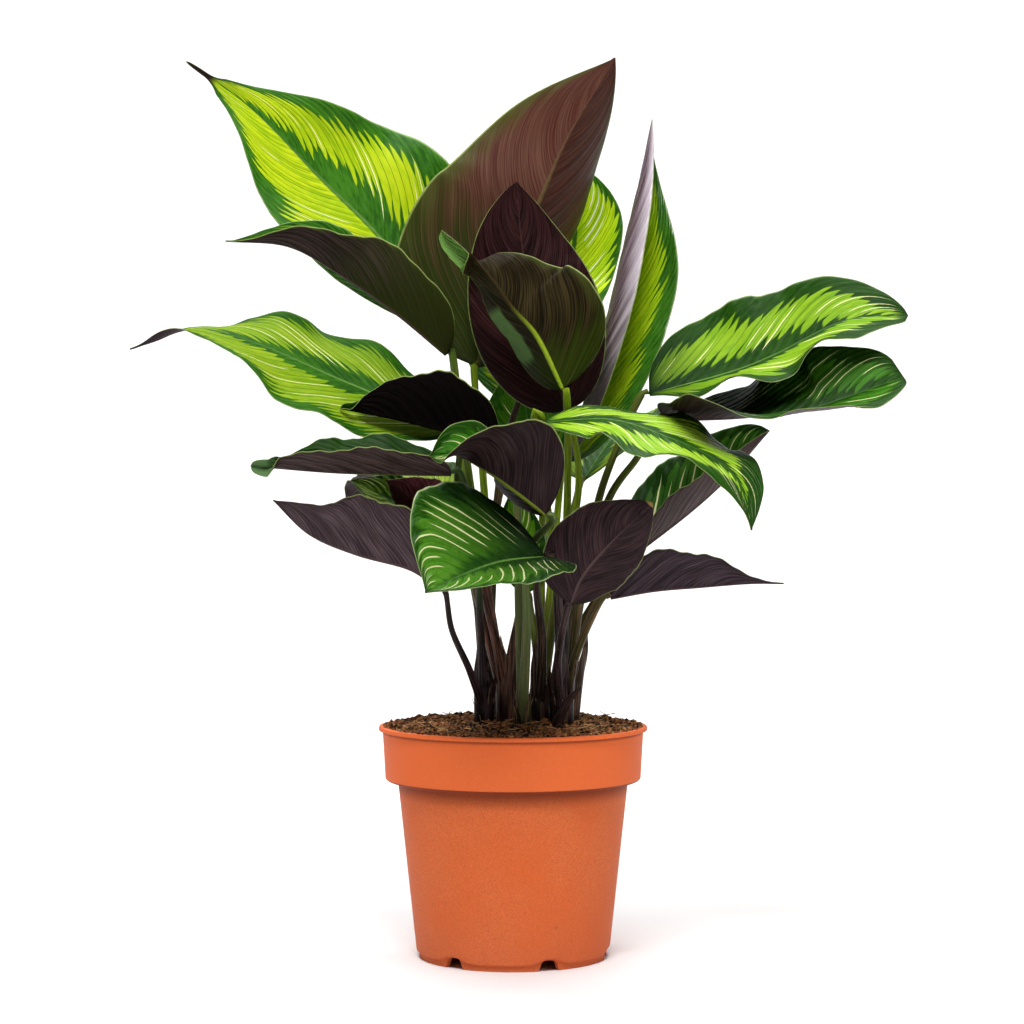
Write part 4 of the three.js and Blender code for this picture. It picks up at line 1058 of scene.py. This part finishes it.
# The soil in millimetres: its height at the rim and in the middle, the size of its humps, its mesh,
# its underside and the radius over which it slopes.
soilForm = dict(edge=119.2, crown=121.6, bump=0.9, rings=90, sides=300, low=7.3, slopeRadius=68)


# Inner radius of the pot at a height: one straight taper above the step under the collar, one below.
def potInner(z):
    step = potForm["height"] - potForm["collarHeight"]
    upShare = (z - step) / potForm["collarHeight"]
    lowShare = (z - potForm["footHeight"]) / (step - potForm["footHeight"])
    upper = potForm["collarBottom"] + (potForm["collarTop"] - potForm["collarBottom"]) * upShare
    lower = potForm["bodyBottom"] + (potForm["bodyTop"] - potForm["bodyBottom"]) * lowShare
    return np.where(z > step, upper, lower) - potForm["wall"]


# Height of the soil: a low mound with a few humps, then lumps and grains of three sizes.
def soilHeight(x, y):
    out = np.hypot(x, y) / soilForm["slopeRadius"]
    humps = np.sin(x * 0.21 + 1) * np.cos(y * 0.17) + 0.6 * np.sin(x * 0.09 - y * 0.31 + 2)
    mound = soilForm["crown"] + (soilForm["edge"] - soilForm["crown"]) * out**2
    mound = mound + soilForm["bump"] * humps * (1 - out**4)
    lumps = (valueNoise(x, y, 5.5, 1) - 0.6) * 2.2 + (valueNoise(x, y, 2.2, 2) - 0.5) * 2.0
    grain = (valueNoise(x, y, 0.9, 3) - 0.5) * 0.9
    return mound + (lumps + grain) * np.clip((1.02 - out) * 6, 0.3, 1)


# Coir and peat: browns that change from grain to grain, with black crumbs and tan flecks.
def soilMaterial(name, tones, grain):
    material, tree, shader = newMaterial(name)
    coarse = noiseSpace(tree, grain, 4.0)
    fine = noiseSpace(tree, grain * 4, 3.0)
    colour = blendColour(tree, coarse.ramp(0.38, 0.62), tones[0], tones[1])
    colour = blendColour(tree, fine.ramp(0.5, 0.68, 0.0, 0.8), colour, tones[2])
    plug(shader.inputs["Base Color"], colour)
    plug(shader.inputs["Roughness"], fine.ramp(0.2, 0.8, 0.8, 1.0))
    shader.inputs["Specular IOR Level"].default_value = 0.2
    bumpUp(tree, shader, fine + coarse, 0.0008, 1.0)
    return material


# The two tones between which each one changes, the tone of its flecks, and how fine its grain is.
soilTones = {
    "peatGround": ((0.006, 0.003, 0.002), (0.130, 0.048, 0.015), (0.36, 0.165, 0.060), 300),
    "peatCrumb": ((0.006, 0.003, 0.002), (0.260, 0.096, 0.032), (0.58, 0.270, 0.100), 150),
    "coirFibre": ((0.38, 0.190, 0.075), (0.70, 0.420, 0.190), (0.14, 0.060, 0.022), 90),
    "dryHusk": ((0.20, 0.120, 0.060), (0.36, 0.250, 0.140), (0.10, 0.055, 0.03), 150),
}
soilSkins = {skin: soilMaterial(skin, tones, grain) for skin, (*tones, grain) in soilTones.items()}

soilSteps = [soilForm["edge"], 110, 95.5, 92.5, 60, 20, soilForm["low"]]
edgeRadius = float(potInner(soilForm["edge"])) - 0.25
turns = 2 * np.pi * np.arange(soilForm["sides"]) / soilForm["sides"]
radii = np.concatenate([[0.0], edgeRadius * np.linspace(0.012, 1, soilForm["rings"])])
ringX, ringY = radii[:, None] * np.cos(turns), radii[:, None] * np.sin(turns)
top = np.stack([ringX, ringY, soilHeight(ringX, ringY)], -1)
top[0] = (0, 0, float(soilHeight(np.array(0.0), np.array(0.0))))
walls = []
for z in soilSteps[1:]:
    r = float(potInner(z)) - 0.5
    walls.append(np.stack([r * np.cos(turns), r * np.sin(turns), np.full(len(turns), z)], -1))
walls.append(np.broadcast_to(np.array([0.0, 0.0, soilForm["low"]]), walls[0].shape))
soilPoints = np.concatenate([top, np.array(walls)])
soilPiece = makePiece("soilBed", soilPoints.reshape(-1, 3) * mm,
                      gridFaces(len(soilPoints), soilForm["sides"], loop=True), [soilSkins["peatGround"]])
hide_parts("soil")

# What lies on the soil, in millimetres: crumbs, those on and against the lip (rimCrumbs, at the
# radii of rimBand and the heights of rimHeight, smaller by shrink), and strands of coir, which lie
# lift above the ground, slope and bend by chance and swing aside by curl. The spreads are the share
# of the soil's radius that crumbs and strands cover.
litter = dict(
    crumbs=3400, crumbSpread=0.965, crumbSize=(0.8, 4.2), shrink=0.6, rimCrumbs=520, rimBand=(64.5, 67.6),
    rimHeight=(119.0, 120.2), strands=1000, strandSpread=0.93, strandLength=(4, 15),
    strandRadius=(0.13, 0.36), slope=0.13, bend=(0.22, 0.22, 0.08), lift=0.45, curl=0.14,
)
# Husk strips at the foot of each shoot, in millimetres: their number, the heights they start at,
# length and radius, how far they stand off and lean out, and how they bend outwards and at random.
husk = dict(
    count=12, foot=(119, 132), length=(4, 12), radius=(0.16, 0.42), off=0.2, lean=0.06,
    bend=(0.0, 1.2), sway=0.9,
)
chance = np.random.default_rng(7)


# Places on the soil, spread evenly over the given share of its radius.
def soilSpots(count, edge):
    r = edgeRadius * edge * np.sqrt(chance.random(count))
    a = 2 * np.pi * chance.random(count)
    x, y = r * np.cos(a), r * np.sin(a)
    return np.stack([x, y, soilHeight(x, y)], -1)


spots = soilSpots(litter["crumbs"], litter["crumbSpread"])
rim = soilSpots(litter["rimCrumbs"], litter["crumbSpread"])
rim[:, :2] *= (chance.uniform(*litter["rimBand"], len(rim)) / np.hypot(rim[:, 0], rim[:, 1]))[:, None]
rim[:, 2] = chance.uniform(*litter["rimHeight"], len(rim))
spots = np.concatenate([spots, rim])
sizes = chance.uniform(*litter["crumbSize"], len(spots)) * 0.6  # the radius is 0.6 of the size
sizes[litter["crumbs"]:] *= litter["shrink"]
points, faces = crumbMesh(spots, sizes, chance)
crumbs = makePiece("soilCrumbs", points * mm, faces, [soilSkins["peatCrumb"]], smooth=False)

spots = soilSpots(litter["strands"], litter["strandSpread"])
angle = 2 * np.pi * chance.random(len(spots))
slope = chance.normal(0.0, litter["slope"], len(spots))
headings = unit(np.stack([np.cos(angle), np.sin(angle), slope], -1))
lengths = chance.uniform(*litter["strandLength"], len(spots))
inward = -spots[:, :2] / np.maximum(np.hypot(spots[:, 0], spots[:, 1])[:, None], 1)
outer = np.hypot(*(spots[:, :2] + headings[:, :2] * lengths[:, None]).T) > edgeRadius - 1
headings[outer, :2] = inward[outer]
headings = unit(headings)
bends = chance.normal(0, 1, (len(spots), 3)) * lengths[:, None] * np.array(litter["bend"])
spots[:, 2] += litter["lift"]
radii = chance.uniform(*litter["strandRadius"], len(spots))
points, faces = strandMesh(spots, headings, lengths, bends, radii, curl=litter["curl"])
strands = makePiece("coirStrands", points * mm, faces, [soilSkins["coirFibre"]])
print("soil made:", len(soilPiece.data.polygons), "faces")

# Dry husk strips that peel from the foot of each shoot.
feet, headings, lengths, bends = [], [], [], []
for shoot in shootForms.values():
    angle = 2 * np.pi * chance.random(husk["count"])
    way = np.stack([np.cos(angle), np.sin(angle), np.zeros(husk["count"])], -1)
    foot = np.array([*shoot["at"], 0.0]) + way * (shoot["radius"] + husk["off"])
    foot[:, 2] = chance.uniform(*husk["foot"], husk["count"])
    feet.append(foot)
    lengths.append(chance.uniform(*husk["length"], husk["count"]))
    headings.append(unit(way * husk["lean"] + np.array([0, 0, 1.0])))
    outward = way * chance.uniform(*husk["bend"], husk["count"])[:, None]
    bends.append(outward + chance.normal(0, husk["sway"], (husk["count"], 3)))
feet, headings, lengths, bends = (np.concatenate(a) for a in (feet, headings, lengths, bends))
radii = chance.uniform(*husk["radius"], len(feet))
points, faces = strandMesh(feet, headings, lengths, bends, radii)
husks = makePiece("dryHusks", points * mm, faces, [soilSkins["dryHusk"]])


# Each corner of an outline becomes a short curve: the two cut points and steps of a bend between.
def easeCorners(corners, cuts, steps=5):
    corners = np.asarray(corners, float)
    before, after = np.roll(corners, 1, 0), np.roll(corners, -1, 0)
    span = np.minimum(np.linalg.norm(before - corners, axis=1), np.linalg.norm(after - corners, axis=1))
    cut = np.minimum(np.asarray(cuts, float), span * 0.45)[:, None]
    start, end = corners + unit(before - corners) * cut, corners + unit(after - corners) * cut
    t = np.linspace(0, 1, steps)[None, :, None]
    curve = (1 - t) ** 2 * start[:, None] + 2 * t * (1 - t) * corners[:, None] + t**2 * end[:, None]
    return curve.reshape(-1, 2)


# The pot's wall: a closed outline of radius and height turned round the axis. Low points give way
# to the notches, and the ledge above the foot arches over each of them.
def potGrid(form):
    step = form["height"] - form["collarHeight"]
    lip = form["height"] - form["lipThick"]

    def inner(z):
        return float(potInner(z))

    slope = (form["bodyTop"] - form["bodyBottom"]) / (step - 2 - form["footHeight"] - 0.6)
    lowBody = [(form["bodyBottom"] + slope * up, form["footHeight"] + 0.6 + up) for up in (1.5, 3.5, 6, 9)]
    corners = [
        (form["footRadius"] - 3, 0), (form["footRadius"], 0), (form["footRadius"], form["footHeight"]),
        (form["bodyBottom"], form["footHeight"] + 0.6), *lowBody, (form["bodyTop"], step - 2),
        (form["collarBottom"] - 1, step - 1), (form["collarBottom"], step - 0.2),
        (form["collarTop"], lip - 0.4), (form["lipRadius"], lip - 0.1), (form["lipRadius"], form["height"]),
        (inner(form["height"]), form["height"]), (inner(step + 2), step + 2), (inner(step - 0.5), step - 0.5),
        (inner(form["floorHigh"]), form["floorHigh"]), (form["footRadius"] - 3, form["floorLow"] + 0.5)]
    cuts = [0.3, 0.35, 0.25, 0.4, 0.3, 0.3, 0.3, 0.3, 1.2, 0.4, 0.5, 0.5, 0.35, 0.8, 0.5, 0.5, 0.5, 0.4, 0.3]
    profile = easeCorners(corners, cuts)
    turn = 2 * np.pi * np.arange(form["sides"]) / form["sides"]
    pitch = 2 * np.pi / form["notches"]
    off = (turn - math.radians(form["firstNotch"]) + pitch / 2) % pitch - pitch / 2
    aside = np.abs(off) * form["footRadius"]
    wide, tall = form["notchWidth"] / 2, form["notchHeight"]
    notch = np.interp(aside, [wide - 2.7, wide - 1.2, wide], [tall, tall - 1.5, 0])
    arch = form["arch"] * np.exp(-((aside / 6.2) ** 2))
    r = np.broadcast_to(profile[:, None, 0], (len(profile), len(turn)))
    z = np.broadcast_to(profile[:, None, 1], r.shape)
    near = np.exp(-(((z - form["footHeight"] - 0.3) / 1.6) ** 2)) * (r > form["footRadius"] - 0.5)
    z = np.maximum(z + arch * near, notch)
    return np.stack([r * np.cos(turn), r * np.sin(turn), z], -1)


# The floor: six equal slices. A point goes from the rim of the slice's drain hole straight out to
# the slice's own edge, and the wall of the hole joins the lower and the upper face.
def floorGrid(form, spokes=48, rings=7, reach=47.4):
    heading = 2 * np.pi * np.arange(spokes) / spokes
    centre = np.array([form["drainRing"], 0.0])
    ways = np.stack([np.cos(heading), np.sin(heading)], -1)
    far = -ways @ centre + np.sqrt((ways @ centre) ** 2 - (centre @ centre - reach**2))
    half = math.pi / form["notches"]
    for sign in (1, -1):
        normal = np.array([-math.sin(half), sign * math.cos(half)])
        speed = ways @ normal
        hit = np.where(speed > 1e-6, -(centre @ normal) / np.maximum(speed, 1e-6), 1e9)
        far = np.minimum(far, hit)
    t = np.linspace(0, 1, rings)[:, None]
    away = form["drainRadius"] + t * (far - form["drainRadius"])
    flat = centre + away[..., None] * ways
    low = np.concatenate([flat, np.full((*away.shape, 1), form["floorLow"])], -1)
    high = np.concatenate([flat, np.full((*away.shape, 1), form["floorHigh"])], -1)
    wedge = np.concatenate([low[::-1], high])
    points, faces = [], []
    one = gridFaces(2 * rings, spokes, loop=True)
    outer = np.arange(spokes)
    band = np.stack([outer, (2 * rings - 1) * spokes + outer], -1)
    rim = np.stack([band[:, 1], np.roll(band[:, 1], -1), np.roll(band[:, 0], -1), band[:, 0]], -1)
    for k in range(form["notches"]):
        turn = math.radians(form["firstNotch"]) + (2 * k + 1) * half
        c, s = math.cos(turn), math.sin(turn)
        spin = np.array([[c, s, 0], [-s, c, 0], [0, 0, 1]])
        faces.append(np.concatenate([one, rim]) + len(points) * wedge.shape[0] * spokes)
        points.append((wedge @ spin).reshape(-1, 3))
    return np.concatenate(points), np.concatenate(faces)


# Moulded plastic: terracotta orange with a fine grain, slow clouds of tone, a brighter collar, painted
# shade as a darker band under the collar and under the lip, and dust near the foot.
def potMaterial():
    material, tree, shader = newMaterial("potPlastic")
    grain = noiseSpace(tree, 1500, 3.0)
    cloud = noiseSpace(tree, 28, 3.0)
    dust = noiseSpace(tree, 600, 2.0)
    place = tree.nodes.new("ShaderNodeTexCoord")
    parts = tree.nodes.new("ShaderNodeSeparateXYZ")
    tree.links.new(place.outputs["Object"], parts.inputs[0])
    high = Wire(tree, parts.outputs[2])
    colour = blendColour(tree, grain.ramp(0.3, 0.7), (0.56, 0.115, 0.035), (0.72, 0.170, 0.056))
    colour = blendColour(tree, cloud.ramp(0.35, 0.7, 0.0, 0.45), colour, (0.66, 0.112, 0.024))
    step = (potForm["height"] - potForm["collarHeight"]) * mm
    lip = (potForm["height"] - potForm["lipThick"]) * mm
    onCollar = high.ramp(step - 0.4 * mm, step + 0.5 * mm, 0.0, 0.7)
    colour = blendColour(tree, onCollar, colour, (0.80, 0.150, 0.040))
    colour = blendColour(tree, high.ramp(0.0, 0.05, 0.25, 0.0), colour, (0.58, 0.145, 0.065))
    # painted shade: the shadow under the collar and under the lip, laid into the colour as darker bands
    paintedShadeUnderStep = high.ramp(step - 11 * mm, step - 1.0 * mm, 0.0, 0.95)
    paintedShadeUnderStep = paintedShadeUnderStep * high.ramp(step - 0.4 * mm, step + 0.2 * mm, 1.0, 0.0)
    paintedShadeUnderLip = high.ramp(lip - 2.2 * mm, lip - 0.6 * mm, 0.0, 0.75)
    paintedShadeUnderLip = paintedShadeUnderLip * high.ramp(lip - 0.2 * mm, lip + 0.2 * mm, 1.0, 0.0)
    colour = blendColour(tree, paintedShadeUnderStep + paintedShadeUnderLip, colour, (0.17, 0.030, 0.012))
    specks = dust.ramp(0.70, 0.76) * high.ramp(0.0, 0.075, 0.8, 0.1)
    colour = blendColour(tree, specks, colour, (0.16, 0.06, 0.03))
    plug(shader.inputs["Base Color"], colour)
    plug(shader.inputs["Roughness"], grain.ramp(0.3, 0.7, 0.46, 0.60))
    shader.inputs["Specular IOR Level"].default_value = 0.05
    bumpUp(tree, shader, grain, 0.00025, 0.6)
    return material


wallPoints = potGrid(potForm)
profileSize, sideCount = wallPoints.shape[:2]
wallFaces = gridFaces(profileSize, sideCount, loop=True)
closing = gridFaces(2, sideCount, loop=True)
closing = np.where(closing >= sideCount, closing - sideCount, closing + (profileSize - 1) * sideCount)
floorPoints, floorFaces = floorGrid(potForm)
potPoints = np.concatenate([wallPoints.reshape(-1, 3), floorPoints])
potFaces = np.concatenate([wallFaces, closing, floorFaces + profileSize * sideCount])
potPiece = makePiece("nurseryPot", potPoints * mm, potFaces, [potMaterial()])
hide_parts("pot")
print("pot made:", len(potPiece.data.polygons), "faces")


# A pale sweep: flat floor that bends up into a wall behind, one grid of arc and width.
def makeSweep():
    start, bend = sweepForm["bendAt"], sweepForm["bend"]
    line = [(sweepForm["front"], 0.0), (start, 0.0)]
    for a in np.linspace(0.05, math.pi / 2, 32):
        line.append((start + bend * math.sin(a), bend - bend * math.cos(a)))
    profile = np.array(line + [(start + bend, sweepForm["top"])])
    x = np.linspace(-sweepForm["half"], sweepForm["half"], 3)
    points = np.stack([
        np.broadcast_to(x[None], (len(profile), 3)),
        np.broadcast_to(profile[:, :1], (len(profile), 3)),
        np.broadcast_to(profile[:, 1:], (len(profile), 3))], -1).reshape(-1, 3)
    mesh = bpy.data.meshes.new("sweep")
    mesh.from_pydata(points, [], gridFaces(len(profile), 3)[:, ::-1].tolist())
    material, tree, shader = newMaterial("sweepPaper")
    paper = noiseSpace(tree, 3, 2.0)
    plug(shader.inputs["Base Color"], blendColour(tree, paper, (0.86, 0.86, 0.86), (0.88, 0.88, 0.88)))
    shader.inputs["Roughness"].default_value = 0.9
    mesh.materials.append(material)
    mesh.polygons.foreach_set("use_smooth", np.full(len(mesh.polygons), True))
    sweep = bpy.data.objects.new("sweep", mesh)
    bpy.context.scene.collection.objects.link(sweep)


makeSweep()


def aimAt(thing, place, target):
    thing.location = place
    thing.rotation_euler = (Vector(target) - Vector(place)).to_track_quat("-Z", "Y").to_euler()


for boxName, (place, target, size, watts) in softBoxes.items():
    light = bpy.data.lights.new("light_" + boxName, "AREA")
    light.shape = "RECTANGLE"
    light.size, light.size_y = size
    light.energy = watts
    lamp = bpy.data.objects.new("light_" + boxName, light)
    bpy.context.scene.collection.objects.link(lamp)
    aimAt(lamp, place, target)

world = bpy.data.worlds.new("studio")
world.use_nodes = True
world.node_tree.nodes["Background"].inputs[0].default_value = (1, 1, 1, 1)
world.node_tree.nodes["Background"].inputs[1].default_value = roomLight
bpy.context.scene.world = world
bpy.context.scene.view_settings.view_transform = "Standard"

eye = bpy.data.cameras.new("eye")
eye.lens, eye.sensor_width = camera["lens"], camera["sensor"]
eye.shift_x, eye.shift_y = camera["shift"]
view = bpy.data.objects.new("eye", eye)
bpy.context.scene.collection.objects.link(view)
view.location = (0, -camera["away"], camera["height"])
view.rotation_euler = (math.pi / 2, 0, 0)
bpy.context.scene.camera = view
